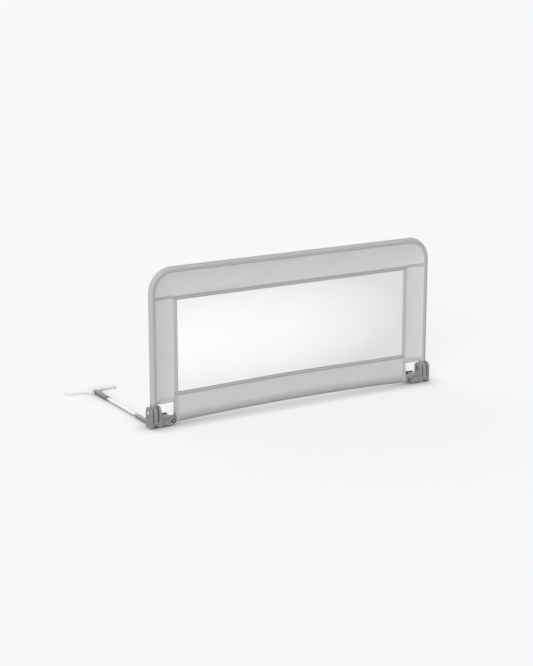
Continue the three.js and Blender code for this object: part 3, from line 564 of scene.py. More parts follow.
def white_net(name, white, shaded):
    """The window's net, with painted shade: a little darker towards its right end and its upper and lower
    edge.
    """
    material, tree, shader = new_material(name)
    net = use_group(tree, NET, {})
    split = split_node(tree, place_node(tree, "Object"))
    side = range_node(tree, split["X"], (-WINDOW_HALF, WINDOW_HALF), (0.0, 1.0))
    side = math_node(tree, "POWER", side, NET_SIDE_POWER)
    high = range_node(tree, split["Z"], (STRIP_TOP, WINDOW_TOP), (-1.0, 1.0))
    high = math_node(tree, "MULTIPLY", math_node(tree, "MULTIPLY", high, high), NET_EDGE_SHARE)
    shade = math_node(tree, "ADD", side, high, clamp=True)
    surface = use_group(tree, WEAVE, {"Color": mix_node(tree, shade, white, shaded), "Spread": 0.02})
    feed(tree, shader.inputs["Base Color"], surface.outputs["Color"])
    feed(tree, shader.inputs["Alpha"], net.outputs["Alpha"])
    feed(tree, shader.inputs["Normal"], bump_node(tree, net.outputs["Height"], NET_DEPTH))
    shader.inputs["Roughness"].default_value = NET_ROUGHNESS
    shader.inputs["Specular IOR Level"].default_value = CLOTH_SPECULAR
    return material


def bright_steel(name, dark, light):
    material, tree, shader = new_material(name)
    swirl = noise_node(tree, place_node(tree, "Object"), *STEEL_NOISE)
    feed(tree, shader.inputs["Base Color"], mix_node(tree, swirl, dark, light))
    feed(tree, shader.inputs["Roughness"], range_node(tree, swirl, STEEL_SPAN, STEEL_ROUGHNESS))
    feed(tree, shader.inputs["Normal"], bump_node(tree, swirl, STEEL_DEPTH))
    shader.inputs["Metallic"].default_value = 1.0
    return material


GRAIN = moulded_grain()
WEAR_AND_SHADE = edge_wear_and_hollow_shade()
WEAVE = woven_cloth()
NET = knitted_net()
LINES = stitch_groove_shade()

GREY_CLOTH = plain_cloth("grey_cover_cloth", srgb(201, 201, 202))
# Darker than the panels' cloth: painted shade, for the tube inside the sleeve and for its top, which gets
# less light
SLEEVE_CLOTH = plain_cloth("grey_sleeve_cloth", srgb(177, 177, 178))
STRIP_CLOTH = strip_cloth("grey_strip_cloth", srgb(194, 194, 195), srgb(153, 153, 154))
# The hems' darker colours are painted shade, for doubled cloth that lets less light through
HEM_CLOTH = hem_cloth("folded_hem_cloth", srgb(172, 172, 173), srgb(142, 142, 143), *HEM_ROWS)
FOOT_HEM_CLOTH = hem_cloth("foot_hem_cloth", srgb(192, 192, 193), srgb(164, 164, 165), *FOOT_ROWS)
SIDE_HEM_CLOTH = hem_cloth("side_hem_cloth", srgb(183, 183, 184), srgb(167, 167, 168), *HEM_ROWS)
# The seam tape's darker colour is painted shade, for the crease between the sleeve and the panels
SEAM_CLOTH = hem_cloth(
    "seam_tape_cloth", srgb(176, 176, 177), srgb(160, 160, 161), TAPE / 2 - TAPE_ROW, TAPE / 2 + TAPE_ROW
)
THREAD = plain_cloth("sewing_thread", srgb(168, 168, 170), spread=0.1)
WHITE_NET = white_net("window_net", srgb(255, 255, 255), srgb(225, 225, 225))
GREY_PLASTIC = moulded_plastic(
    "grey_hinge_plastic",
    srgb(126, 127, 129),
    worn=srgb(176, 178, 180),
    hollow=srgb(62, 63, 65),
    roughness=0.42,
    wear=0.7,
)
DARK_PLASTIC = moulded_plastic(
    "dark_grip_plastic",
    srgb(44, 45, 47),
    worn=srgb(96, 98, 100),
    hollow=srgb(22, 22, 24),
    roughness=0.4,
    wear=0.5,
)
SLEEVE_PLASTIC = moulded_plastic(
    "dark_sleeve_plastic",
    srgb(100, 101, 103),
    worn=srgb(142, 144, 146),
    hollow=srgb(46, 47, 49),
    roughness=0.45,
    wear=0.5,
)
WHITE_PLASTIC = moulded_plastic(
    "white_foot_plastic",
    srgb(226, 226, 224),
    worn=srgb(236, 236, 235),
    hollow=srgb(178, 178, 176),
    roughness=0.42,
    wear=0.3,
)
WHITE_PAINT = moulded_plastic(
    "white_tube_paint",
    srgb(228, 228, 227),
    worn=srgb(214, 214, 213),
    hollow=srgb(186, 186, 185),
    roughness=0.3,
    wear=0.2,
    grain=900.0,
    depth=0.00002,
    spread=0.02,
)
STEEL = bright_steel("bright_steel", srgb(226, 227, 228), srgb(240, 240, 241))


# Hardware: each CAD moulding, turned part or pressing gets its edges rounded and its round faces smoothed


def finished_copy(node, body, material, edge=0.0, segments=2):
    """A copy of a CAD node, whose corners are merged and whose sharp edges may be rounded."""
    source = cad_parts[node]
    piece = source.copy()
    piece.data = source.data.copy()
    piece.name = f"{node}_finished"
    for key in list(piece.keys()):
        del piece[key]
    bpy.context.scene.collection.objects.link(piece)
    piece.hide_render = False
    piece.parent = None
    edit_whole(piece)
    bpy.ops.mesh.remove_doubles(threshold=MERGE_DISTANCE)
    bpy.ops.mesh.dissolve_limited(angle_limit=FLAT_ANGLE)
    bpy.ops.object.mode_set(mode="OBJECT")
    if edge:
        bevel = piece.modifiers.new("rounding", "BEVEL")
        bevel.width = edge
        bevel.segments = segments
        bevel.limit_method = "ANGLE"
        bevel.angle_limit = SHARP
        bpy.ops.object.modifier_apply(modifier=bevel.name)
    bpy.ops.object.shade_smooth_by_angle(angle=SHARP)
    piece.data.materials.clear()
    piece.data.materials.append(material)
    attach(piece, body)
    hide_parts(node)
    return piece


# A node's name without its side, its body, material and slot, and its rounding with its segments
HARDWARE = [
    ("bracket", "base", GREY_PLASTIC, "grey_plastic", 0.0007, 2),
    ("knuckle", "guard", GREY_PLASTIC, "grey_plastic", 0.0006, 2),
    ("pivot_pin", "base", STEEL, "steel", 0.0005, 2),
    ("pivot_clip", "base", DARK_PLASTIC, "dark_plastic", 0.0003, 2),
    ("latch_cover", "base", GREY_PLASTIC, "grey_plastic", 0.0004, 2),
    ("latch_cover_screw", "base", STEEL, "steel", 0.0003, 2),
    ("latch_grip", "latch_SIDE", DARK_PLASTIC, "dark_plastic", 0.0006, 3),
    ("latch_plunger", "latch_SIDE", STEEL, "steel", 0.0003, 2),
    ("lug_ring", "base", DARK_PLASTIC, "dark_plastic", 0.0004, 2),
    ("lug_bolt", "base", STEEL, "steel", 0.0005, 2),
    ("lug_nut", "base", STEEL, "steel", 0.0003, 2),
    ("arm_tube", "base", WHITE_PAINT, "white_tube", 0.0002, 1),
    ("arm_button", "button_SIDE", STEEL, "steel", 0.0006, 3),
    ("foot_sleeve", "base", SLEEVE_PLASTIC, "grey_plastic", 0.0007, 2),
    ("foot_plate", "base", WHITE_PLASTIC, "white_plastic", 0.0010, 3),
    ("foot_screw", "base", STEEL, "steel", 0.0005, 2),
]


def press_socket(pin, sign):
    """Sinks a round socket into the middle of a pivot pin's head."""
    end = max(corner.co.x * sign for corner in pin.data.vertices)
    activate(pin)
    bpy.ops.object.mode_set(mode="EDIT")
    bpy.ops.mesh.select_mode(type="FACE")
    bpy.ops.mesh.select_all(action="DESELECT")
    bpy.ops.object.mode_set(mode="OBJECT")
    for face in pin.data.polygons:
        outermost = face.center.x * sign > end - SOCKET_DEPTH
        face.select = outermost and face.normal.x * sign > HEAD_FACING_SHARE
    bpy.ops.object.mode_set(mode="EDIT")
    bpy.ops.mesh.inset(thickness=SOCKET_RIM, depth=0)
    bpy.ops.mesh.inset(thickness=SOCKET_SLOPE, depth=-SOCKET_DEPTH)
    bpy.ops.object.mode_set(mode="OBJECT")
    bpy.ops.object.shade_smooth_by_angle(angle=SHARP)


def make_hardware():
    for stem, body, material, slot, edge, segments in HARDWARE:
        for hand, sign in HANDS:
            rides_on = body.replace("SIDE", hand)
            piece = finished_copy(f"{stem}_{hand}", rides_on, material, edge, segments)
            if stem == "pivot_pin":
                press_socket(piece, sign)


def make_springs():
    """The latch and button springs, copied from their CAD nodes onto the base, each with its own mesh."""
    for hand, _ in HANDS:
        for node, joint, axis in (
            (f"latch_spring_{hand}", f"latch_{hand}_slide", Vector((1, 0, 0))),
            (f"arm_button_spring_{hand}", f"arm_button_{hand}_press", Vector((0, 0, 1))),
        ):
            spring = finished_copy(node, "base", STEEL)
            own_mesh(spring)


def paint_hidden_nodes():
    """CAD nodes that stay as they are: the tubes under the cover and what joins them."""
    for node, material in (
        ("joiner_rivet_left", STEEL),
        ("joiner_rivet_right", STEEL),
        ("upper_tube_left", WHITE_PAINT),
        ("upper_tube_right", WHITE_PAINT),
        ("tube_joiner", WHITE_PAINT),
        ("bottom_tube", WHITE_PAINT),
    ):
        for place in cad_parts[node].material_slots:
            place.material = material


# Cloth


def smooth(share):
    share = min(max(share, 0.0), 1.0)
    return share * share * (3 - 2 * share)


def ripple(x, y, z, size, seed):
    return noise.noise(Vector((x / size + seed, y / size - seed, z / size + seed * SEED_LEAN)))


def cloth_mesh(name, grid, lengths, keep=None):
    """A sheet through a grid of points. lengths gives each point's place on the flat cloth, in metres."""
    rows, columns = grid.shape[:2]
    mesh = bpy.data.meshes.new(name)
    faces = []
    for i in range(rows - 1):
        for j in range(columns - 1):
            if keep is None or keep(i, j):
                corner = i * columns + j
                faces.append((corner, corner + 1, corner + columns + 1, corner + columns))
    mesh.from_pydata([tuple(point) for point in grid.reshape(-1, 3)], [], faces)
    layer = mesh.uv_layers.new(name="cloth")
    flat = lengths.reshape(-1, 2)
    for loop in mesh.loops:
        layer.data[loop.index].uv = flat[loop.vertex_index]
    return add_object(name, mesh)


def thicken(obj, thickness=CLOTH):
    edit_whole(obj)
    bpy.ops.mesh.delete_loose(use_verts=True, use_edges=True, use_faces=False)
    bpy.ops.mesh.select_all(action="SELECT")
    bpy.ops.mesh.normals_make_consistent(inside=False)
    bpy.ops.object.mode_set(mode="OBJECT")
    wall = obj.modifiers.new("wall", "SOLIDIFY")
    wall.thickness = thickness
    wall.offset = 0.0
    wall.use_even_offset = False
    bpy.ops.object.modifier_apply(modifier=wall.name)
    bpy.ops.object.shade_smooth_by_angle(angle=CLOTH_SMOOTHING)


def dress(obj, material):
    obj.data.materials.clear()
    obj.data.materials.append(material)


def arc_lengths(grid):
    """Lengths across and along a grid, so that the weave keeps its scale."""
    across = np.linalg.norm(np.diff(grid, axis=1), axis=2)
    along = np.linalg.norm(np.diff(grid, axis=0), axis=2)
    u = np.concatenate([np.zeros((grid.shape[0], 1)), np.cumsum(across, axis=1)], axis=1)
    v = np.concatenate([np.zeros((1, grid.shape[1])), np.cumsum(along, axis=0)], axis=0)
    return np.stack([u, v], axis=2)


def centred_lengths(grid):
    """The same, with the lengths across counted both ways from the middle column."""
    lengths = arc_lengths(grid)
    middle = lengths[:, grid.shape[1] // 2, 0]
    lengths[:, :, 0] = lengths[:, :, 0] - middle[:, None]
    return lengths


def folded_lengths(grid):
    """The same, without a sign, so that both sides of a fold look alike."""
    lengths = centred_lengths(grid)
    lengths[:, :, 0] = np.abs(lengths[:, :, 0])
    return lengths


# The cover over the tube frame: a front and a back sheet, which lie on the tubes and meet at the hems


def tube_gap(x, z):
    """How far a place on the guard lies from the bent tube's axis, counted inwards."""
    straight = UPRIGHT - BEND
    bend_low = TOP_AXIS - BEND
    if abs(x) > straight and z > bend_low:
        return BEND - hypot(abs(x) - straight, z - bend_low)
    return min(UPRIGHT - abs(x), TOP_AXIS - z)


def hem_gap(x, z):
    """How far a place lies outside the hems round the window."""
    return max(abs(x) - WINDOW_HALF, z - WINDOW_TOP) - HEM


def sheet_rise(x, z):
    """How far the front and the back sheet stand off the guard's plane when they are taut."""
    gap = tube_gap(x, z)
    if gap < SEAM_GAP:
        return sqrt(max(SLEEVE_MIDDLE**2 - gap**2, 0.0))
    reach = SHORT_LAY + (LONG_LAY - SHORT_LAY) * smooth((z - SIDE_LOW[2]) / LAY_RISE)
    share = min((gap - SEAM_GAP) / (reach - SEAM_GAP), 1.0)
    return PANEL_HALF + (SEAM_RISE - PANEL_HALF) * (1 - share) ** LAY_POWER


def drape(x, z, side):
    """Slow swells away from the seams, and small puckers beside them."""
    seam = tube_gap(x, z) - SEAM_GAP
    seed = SEED + side
    calm = smooth(seam / CALM) * smooth(hem_gap(x, z) / CALM)
    swell = SWELL * ripple(x, 0, z * SWELL_STRETCH, SWELL_SIZE, seed)
    fold = FOLD * ripple(x, 0, z, FOLD_SIZE, seed)
    pucker = PUCKER * exp(-max(seam, 0.0) / PUCKER_REACH) * ripple(x, 0, z, PUCKER_SIZE, seed)
    return calm * (swell + fold) + pucker


def on_cover(x, z, side, lift=0.0):
    """A point on the front sheet, side -1, or on the back one, side 1."""
    return (x, PLANE + side * (sheet_rise(x, z) + drape(x, z, side) + lift), z)


def tube_path():
    """Points (x, z) and inward directions along the guard's bent tube, from one foot to the other."""
    low, bend_low = SLEEVE_LOW[2], TOP_AXIS - BEND
    straight = UPRIGHT - BEND
    points, inward = [], []
    for z in np.linspace(low, bend_low, int((bend_low - low) / TUBE_STEP) + 1)[:-1]:
        points.append((-UPRIGHT, z))
        inward.append((1.0, 0.0))
    for t in np.linspace(0, pi / 2, int(BEND * pi / 2 / BEND_STEP) + 1)[:-1]:
        points.append((-straight - BEND * cos(t), bend_low + BEND * sin(t)))
        inward.append((cos(t), -sin(t)))
    for x in np.linspace(-straight, 0, int(straight / TUBE_STEP) + 1):
        points.append((x, TOP_AXIS))
        inward.append((0.0, -1.0))
    points += [(-x, z) for x, z in reversed(points[:-1])]
    inward += [(-a, b) for a, b in reversed(inward[:-1])]
    return np.array(points), np.array(inward)


def wrap_tube(name, points, inward, radius, crease):
    """Cloth round the tube's outer side, from the front seam to the back one, and its length round it."""
    turn = np.linspace(SEAM_ANGLE, 2 * pi - SEAM_ANGLE, SLEEVE_COLUMNS)
    grid = np.zeros((len(points), len(turn), 3))
    for i, ((x, z), (a, b)) in enumerate(zip(points, inward)):
        bent = 1.0 if abs(a * b) > BENT else STRAIGHT_CREASE_SHARE
        for j, t in enumerate(turn):
            free = sin(pi * j / (len(turn) - 1))
            size = radius + crease * free * bent * ripple(x, radius * t, z, CREASE_SIZE, SEED)
            grid[i, j] = (x + a * size * cos(t), PLANE + size * sin(t), z + b * size * cos(t))
    cloth = cloth_mesh(name, grid, arc_lengths(grid))
    thicken(cloth)
    return cloth, float(radius * (turn[-1] - turn[0]))


def make_sleeve():
    points, inward = tube_path()
    sleeve, around = wrap_tube("cover_tube_sleeve", points, inward, SLEEVE_MIDDLE, CREASE)
    dress(sleeve, SLEEVE_CLOTH)
    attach(sleeve, "guard")
    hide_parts("cover_sleeve")
    for hand, sign in HANDS:
        heights = np.linspace(0, FOOT_RING, FOOT_RING_ROWS)
        low = np.array([(sign * UPRIGHT, SLEEVE_LOW[2] + height) for height in heights])
        way = np.array([(-sign, 0.0)] * len(low))
        foot, _ = wrap_tube(f"sleeve_{hand}_foot_hem", low, way, SLEEVE_MIDDLE + CLOTH, 0.0)
        dress(foot, SLEEVE_CLOTH)
        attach(foot, "guard")


def panel_top(x):
    """The top panel's upper edge, at its seam on the tube."""
    corner = BEND - SEAM_GAP
    half = UPRIGHT - SEAM_GAP
    over = max(abs(x) - (half - corner), 0.0)
    return TOP_AXIS - SEAM_GAP - corner + sqrt(max(corner**2 - over**2, 0.0))


def make_top_panels():
    half = UPRIGHT - SEAM_GAP
    t = np.linspace(-1, 1, TOP_COLUMNS)
    xs = half * (np.sin(t * pi / 2) * SIDE_CROWDING_SHARE + t * (1 - SIDE_CROWDING_SHARE))
    for side, name in FACES:
        grid = np.zeros((TOP_ROWS, len(xs), 3))
        for j, x in enumerate(xs):
            for i, z in enumerate(np.linspace(WINDOW_TOP, panel_top(x), TOP_ROWS)):
                grid[i, j] = on_cover(x, z, side)
        panel = cloth_mesh(f"cover_top_panel_{name}", grid, arc_lengths(grid))
        thicken(panel)
        dress(panel, GREY_CLOTH)
        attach(panel, "guard")
        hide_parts("cover_top_band")


def joined_spans(places, counts):
    """Evenly spaced values over each span between neighbouring places."""
    spans = [np.linspace(*ends) for ends in zip(places[:-1], places[1:], counts)]
    return np.concatenate([spans[0]] + [span[1:] for span in spans[1:]])


def make_side_panels(hand, sign):
    """The panels beside the window, with room left for the bottom strip and the knuckle's rim."""
    seam = UPRIGHT - SEAM_GAP
    xs = joined_spans((WINDOW_HALF, STRIP_HALF + JOIN, UPRIGHT - RIM_ROOM, seam), SIDE_COLUMNS)
    zs = joined_spans((SIDE_LOW[2], SLEEVE_LOW[2], STRIP_ENDS_TOP + JOIN, WINDOW_TOP), SIDE_ROWS)
    strip_column, rim_column = SIDE_COLUMNS[0] - 1, SIDE_COLUMNS[0] + SIDE_COLUMNS[1] - 2
    rim_row, strip_row = SIDE_ROWS[0] - 1, SIDE_ROWS[0] + SIDE_ROWS[1] - 2

    def keep(i, j):
        return not (i < strip_row and j < strip_column) and not (i < rim_row and j >= rim_column)

    for side, name in FACES:
        grid = np.array([[on_cover(sign * x, z, side) for x in xs] for z in zs])
        panel = cloth_mesh(f"cover_side_panel_{hand}_{name}", grid, arc_lengths(grid), keep)
        thicken(panel)
        dress(panel, GREY_CLOTH)
        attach(panel, "guard")
        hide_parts(f"cover_side_band_{hand}")


def binding(name, edge, inward, reach, material):
    """A hem folded over an edge. edge gives its (x, z) points and inward the direction into the cloth."""
    a, b = inward
    steps = np.linspace(reach, HEM_FOLD, HEM_COLUMNS)
    grid = np.zeros((len(edge), 2 * HEM_COLUMNS + len(FOLD_STEPS), 3))
    for i, (x, z) in enumerate(edge):
        front, back = (
            [on_cover(x + a * step, z + b * step, side, lift) for step, lift in zip(steps, HEM_LIFTS)]
            for side, _ in FACES
        )
        half = PLANE - front[-1][1]
        fold = [(x - a * out, PLANE + half * across, z - b * out) for across, out in FOLD_STEPS]
        grid[i] = front + fold + back[::-1]
    hem = cloth_mesh(name, grid, folded_lengths(grid))
    thicken(hem)
    dress(hem, material)
    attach(hem, "guard")
    return hem


def seam_tape(name, middle, across, side):
    """A flat tape sewn over a seam on the front or back sheet. middle gives its (x, z) points."""
    offsets = np.linspace(-TAPE / 2, TAPE / 2, TAPE_COLUMNS)
    grid = np.zeros((len(middle), len(offsets), 3))
    for i, ((x, z), (a, b)) in enumerate(zip(middle, across)):
        for j, offset in enumerate(offsets):
            lift = HEM_LIFT if 0 < j < len(offsets) - 1 else HEM_LIFT * EDGE_SHARE
            grid[i, j] = on_cover(x + a * offset, z + b * offset, side, lift)
    tape = cloth_mesh(name, grid, arc_lengths(grid))
    thicken(tape)
    dress(tape, SEAM_CLOTH)
    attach(tape, "guard")
    return tape


def row_on_cover(points, side):
    """A row of stitches along (x, z) points, as sew takes it."""
    return [on_cover(x, z, side, STITCH_LIFT) for x, z in points], side


def line_of(start, end):
    return np.linspace(start, end, max(int(np.linalg.norm(np.subtract(end, start)) / TRIM_STEP), 2))


def make_top_trims(trims, rows):
    """The hem over the window, the tapes along the tube, and where their stitches go."""
    points, inward = tube_path()
    seam = points + inward * SEAM_GAP
    top = line_of((-WINDOW_HALF - HEM, WINDOW_TOP), (WINDOW_HALF + HEM, WINDOW_TOP))
    top_hem = binding("window_top_hem", top, (0, 1), HEM, HEM_CLOTH)
    for side, name in FACES:
        trims[name] = [top_hem, seam_tape(f"cover_seam_{name}", seam, inward, side)]
        for offset in (-TAPE_ROW, TAPE_ROW):
            rows[side].append(row_on_cover(seam + inward * offset, side))
        for offset in HEM_ROWS:
            rows[side].append(row_on_cover(top + np.array((0, offset)), side))


def make_side_trims(hand, sign, trims, rows):
    """The hems beside the window and at a side panel's foot, its cross seam, and where their stitches go."""
    edge = line_of((sign * WINDOW_HALF, STRIP_ENDS_TOP + JOIN), (sign * WINDOW_HALF, WINDOW_TOP))
    hem = binding(f"window_{hand}_hem", edge, (sign, 0), HEM, SIDE_HEM_CLOTH)
    foot_z = SIDE_LOW[2] + HEM_FOLD
    foot_line = line_of((sign * (STRIP_HALF + JOIN + CLOTH), foot_z), (sign * (UPRIGHT - RIM_ROOM), foot_z))
    foot = binding(f"side_panel_{hand}_foot_hem", foot_line, (0, 1), FOOT_HEM, FOOT_HEM_CLOTH)
    cross_z = WINDOW_TOP + HEM - HEM_ROW
    cross_end = UPRIGHT - SEAM_GAP - TAPE / 2
    cross = line_of((sign * (WINDOW_HALF + HEM), cross_z), (sign * cross_end, cross_z))
    upright = np.array([(0.0, 1.0)] * len(cross))
    for side, name in FACES:
        tape = seam_tape(f"side_panel_{hand}_seam_{name}", cross, upright, side)
        trims[name] = [hem, foot, tape]
        for offset in HEM_ROWS:
            rows[side].append(row_on_cover(edge + np.array((sign * offset, 0)), side))
        for offset in FOOT_ROWS:
            rows[side].append(row_on_cover(foot_line + np.array((0, offset)), side))
        rows[side].append(row_on_cover(cross, side))


def make_cover_trims():
    """Hems round the window and at the feet of the side panels, tapes over the seams, and their stitches."""
    trims = {"left": {}, "right": {}}
    rows = {-1: [], 1: []}
    make_top_trims(trims, rows)
    for hand, sign in HANDS:
        make_side_trims(hand, sign, trims[hand], rows)
    for side, name in FACES:
        stitches = sew(f"cover_stitches_{name}", rows[side])
        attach(stitches, "guard")
        trims[name].append(stitches)
    return trims


def add_stitch(points, faces, spine, out):
    """A short raised stitch along four places: pointed at the first and last, four-sided at the others."""
    way = spine[3] - spine[0]
    broad = np.cross(way / np.linalg.norm(way), out) * THREAD_HALF
    high = out * THREAD_HALF
    first = len(points)
    points.append(spine[0] - high)
    for place in spine[1:3]:
        points.extend([place + broad, place + high, place - broad, place - high])
    points.append(spine[3] - high)
    near, far, last = first + 1, first + 5, first + 9
    for c in range(4):
        d = (c + 1) % 4
        faces.append((first, near + c, near + d))
        faces.append((near + c, far + c, far + d, near + d))
        faces.append((far + c, last, far + d))


def sew(name, rows):
    """The stitches of some rows. Each row is its points and the side of the cover that it lies on."""
    points, faces = [], []
    for line, side in rows:
        line = np.array(line)
        steps = np.linalg.norm(np.diff(line, axis=0), axis=1)
        along = np.concatenate([[0.0], np.cumsum(steps)])
        for k in range(int(along[-1] / STITCH_PITCH)):
            places = (k + STITCH_SHARES) * STITCH_PITCH
            spine = np.stack([np.interp(places, along, line[:, axis]) for axis in range(3)], axis=1)
            add_stitch(points, faces, spine, np.array((0.0, side, 0.0)))
    mesh = bpy.data.meshes.new(name)
    mesh.from_pydata([tuple(point) for point in points], [], faces)
    stitches = add_object(name, mesh)
    edit_whole(stitches)
    bpy.ops.mesh.normals_make_consistent(inside=False)
    bpy.ops.object.mode_set(mode="OBJECT")
    bpy.ops.object.shade_smooth()
    dress(stitches, THREAD)
    return stitches


# The window's net


def window_line(x):
    """The line between the window and the bottom strip."""
    return STRIP_ENDS_TOP + WINDOW_BOW * (1 + cos(pi * x / STRIP_HALF)) / 2


def make_window():
    half = WINDOW_HALF + NET_LAP
    high = WINDOW_TOP + NET_LAP
    grid = np.zeros((NET_ROWS, NET_COLUMNS, 3))
    for j, x in enumerate(np.linspace(-half, half, NET_COLUMNS)):
        for i, z in enumerate(np.linspace(window_line(x) - NET_LAP, high, NET_ROWS)):
            free = sin(pi * i / (NET_ROWS - 1)) * sin(pi * j / (NET_COLUMNS - 1))
            swell = NET_SWELL * ripple(x, 0, z, SWELL_SIZE, SEED)
            fold = NET_FOLD * ripple(x, 0, z, FOLD_SIZE, SEED)
            grid[i, j] = (x, PLANE + free * (swell + fold), z)
    net = cloth_mesh("cover_window_net", grid, arc_lengths(grid))
    thicken(net, NET_CLOTH)
    dress(net, WHITE_NET)
    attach(net, "guard")
    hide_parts("cover_mesh")


# The bottom strip, which hangs from the window's lower edge and goes round the bowed bottom tube


def bow_height(x):
    return BOTTOM_AXIS + BOW * (1 - (x / STRIP_HALF) ** 2)


def strip_drape(x, share, side):
    """Slow swells over the strip's height, and short pulled folds just above its tube."""
    ends = smooth((STRIP_HALF - abs(x)) / CALM)
    free = sin(pi * min(max(share, 0.0), 1.0))
    low = smooth((share - PULL_START_SHARE) / (1 - PULL_START_SHARE)) * free
    swell = STRIP_SWELL * free * ripple(x, 0, share * STRIP_TOP, STRIP_SWELL_SIZE, SEED + side)
    slant = share * PULL_SLANT
    return ends * (swell + STRIP_PULL * low * ripple(x + slant, 0, slant, PULL_SIZE, SEED - side))


def strip_lean(x):
    """How far the strip leans outwards on its way down from its upper edge to its tube."""
    return (STRIP_RADIUS - PANEL_HALF) / (window_line(x) - bow_height(x))


def strip_place(x, share, side, lift):
    """A point on the strip's front or back: share 0 is its upper edge, 1 is where it reaches the tube."""
    axis, top, lean = bow_height(x), window_line(x), strip_lean(x)
    across = PANEL_HALF + (STRIP_RADIUS * cos(lean) - PANEL_HALF) * share + lift
    up = top + (axis + STRIP_RADIUS * sin(lean) - top) * share
    return (x, PLANE + side * (across + strip_drape(x, share, side)), up)


def strip_section(x, lift, shares):
    """Down the front, round the bottom tube and up the back."""
    axis, lean, radius = bow_height(x), strip_lean(x), STRIP_RADIUS + lift
    turn = np.linspace(-lean, pi + lean, STRIP_TURN)[1:-1]
    round_tube = [(x, PLANE - radius * cos(t), axis - radius * sin(t)) for t in turn]
    front, back = ([strip_place(x, share, side, lift) for share in shares] for side, _ in FACES)
    return front + round_tube + back[::-1]


def make_strip_end_hem(hand, sign, shares, rows):
    columns = np.linspace(STRIP_HALF - HEM, STRIP_HALF, END_HEM_COLUMNS) * sign
    grid = np.array([strip_section(x, HEM_LIFT, shares) for x in columns]).transpose(1, 0, 2)
    hem = cloth_mesh(f"bottom_panel_{hand}_hem", grid, arc_lengths(grid))
    thicken(hem)
    dress(hem, SIDE_HEM_CLOTH)
    for side, _ in FACES:
        for offset in HEM_ROWS:
            x = sign * (STRIP_HALF - offset)
            rows.append(([strip_place(x, share, side, STITCH_LIFT) for share in shares], side))
    return hem


def make_strip_top_hem(xs, rows):
    """The hem folded over the strip's upper edge."""
    grid = np.zeros((len(xs), 2 * HEM_COLUMNS + len(FOLD_STEPS), 3))
    for i, x in enumerate(xs):
        shares = np.linspace(HEM, HEM_FOLD, HEM_COLUMNS) / (window_line(x) - bow_height(x))
        front, back = (
            [strip_place(x, share, side, lift) for share, lift in zip(shares, HEM_LIFTS)] for side, _ in FACES
        )
        half = PLANE - front[-1][1]
        rim = window_line(x) - HEM_FOLD / 2
        grid[i] = front + [(x, PLANE + half * across, rim + out) for across, out in FOLD_STEPS] + back[::-1]
    hem = cloth_mesh("bottom_panel_top_hem", grid, folded_lengths(grid))
    thicken(hem)
    dress(hem, HEM_CLOTH)
    between = [x for x in xs if abs(x) < STRIP_HALF - HEM]
    for side, _ in FACES:
        for offset in HEM_ROWS:
            shares = [offset / (window_line(x) - bow_height(x)) for x in between]
            row = [strip_place(x, share, side, STITCH_LIFT) for x, share in zip(between, shares)]
            rows.append((row, side))
    return hem


def make_strip():
    shares = np.linspace(0, 1, STRIP_ROWS)
    xs = np.linspace(-STRIP_HALF, STRIP_HALF, STRIP_COLUMNS)
    grid = np.array([strip_section(x, 0.0, shares) for x in xs])
    strip = cloth_mesh("cover_bottom_panel", grid, centred_lengths(grid))
    thicken(strip)
    dress(strip, STRIP_CLOTH)
    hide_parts("cover_bottom_strip")
    rows = []
    trims = [make_strip_end_hem(hand, sign, shares, rows) for hand, sign in HANDS]
    trims.append(make_strip_top_hem(xs, rows))
    trims.append(sew("bottom_panel_stitches", rows))
    for piece in (strip, *trims):
        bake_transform(piece)


# Studio


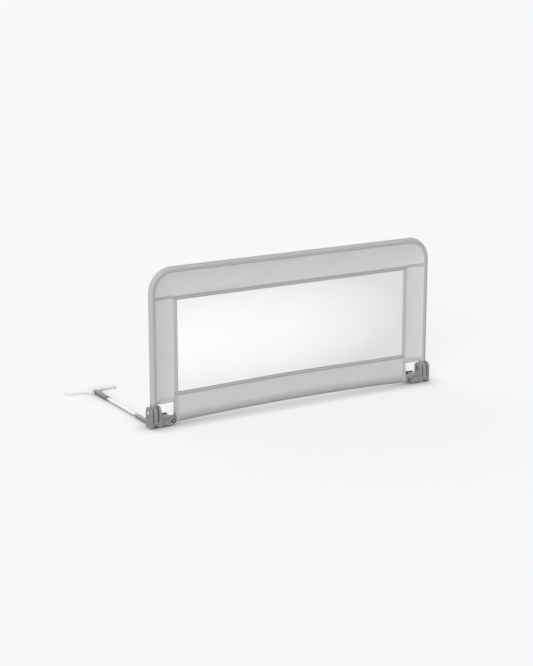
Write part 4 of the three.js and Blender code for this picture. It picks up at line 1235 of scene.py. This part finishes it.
def make_floor():
    bpy.ops.mesh.primitive_plane_add(size=FLOOR_SIZE, location=(0, 0, -FLOOR_DROP))
    floor = bpy.context.active_object
    floor.name = "studio_floor"
    material, tree, shader = new_material("pale_floor")
    cloud = noise_node(tree, place_node(tree, "Object"), *FLOOR_NOISE)
    feed(tree, shader.inputs["Base Color"], mix_node(tree, cloud, srgb(177, 177, 177), srgb(179, 179, 179)))
    shader.inputs["Roughness"].default_value = FLOOR_ROUGHNESS
    shader.inputs["Specular IOR Level"].default_value = 0.0
    # Painted contact shadow: the floor's lift fades where ambient occlusion finds the object near
    near = tree.nodes.new("ShaderNodeAmbientOcclusion")
    near.samples = CONTACT_SAMPLES
    near.inputs["Distance"].default_value = CONTACT_REACH
    clear = math_node(tree, "POWER", near.outputs["AO"], CONTACT_POWER)
    seen = tree.nodes.new("ShaderNodeLightPath").outputs["Is Camera Ray"]
    lift = math_node(tree, "MULTIPLY", seen, math_node(tree, "MULTIPLY", clear, FLOOR_LIFT))
    feed(tree, shader.inputs["Emission Color"], WHITE)
    feed(tree, shader.inputs["Emission Strength"], lift)
    floor.data.materials.append(material)


def make_world():
    """White light from all round, and a pale grey backdrop where the camera or a reflection meets it."""
    world = bpy.data.worlds.new("studio")
    bpy.context.scene.world = world
    world.use_nodes = True
    tree = world.node_tree
    back = tree.nodes["Background"]
    feed(tree, back.inputs["Color"], WHITE)
    feed(tree, back.inputs["Strength"], WORLD_STRENGTH)
    seen = tree.nodes.new("ShaderNodeBackground")
    feed(tree, seen.inputs["Color"], srgb(246, 246, 246))
    path = tree.nodes.new("ShaderNodeLightPath").outputs
    either = math_node(tree, "ADD", path["Is Camera Ray"], path["Is Glossy Ray"])
    either = math_node(tree, "ADD", either, path["Is Transmission Ray"], clamp=True)
    mix = tree.nodes.new("ShaderNodeMixShader")
    feed(tree, mix.inputs["Fac"], either)
    feed(tree, mix.inputs[1], back.outputs["Background"])
    feed(tree, mix.inputs[2], seen.outputs["Background"])
    feed(tree, tree.nodes["World Output"].inputs["Surface"], mix.outputs["Shader"])


def make_lamps():
    for name, (strength, spread, from_zenith, turn) in LAMPS.items():
        sun = bpy.data.lights.new(name, "SUN")
        sun.energy = strength
        sun.angle = spread
        add_object(name, sun).rotation_euler = (from_zenith, 0, turn)


make_camera()
make_sleeve()
cover_trims = make_cover_trims()
make_top_panels()
for hand, sign in HANDS:
    make_side_panels(hand, sign)
make_window()
make_strip()
make_hardware()
make_springs()
paint_hidden_nodes()
make_floor()
make_world()
make_lamps()
bpy.context.scene.view_settings.view_transform = "Standard"
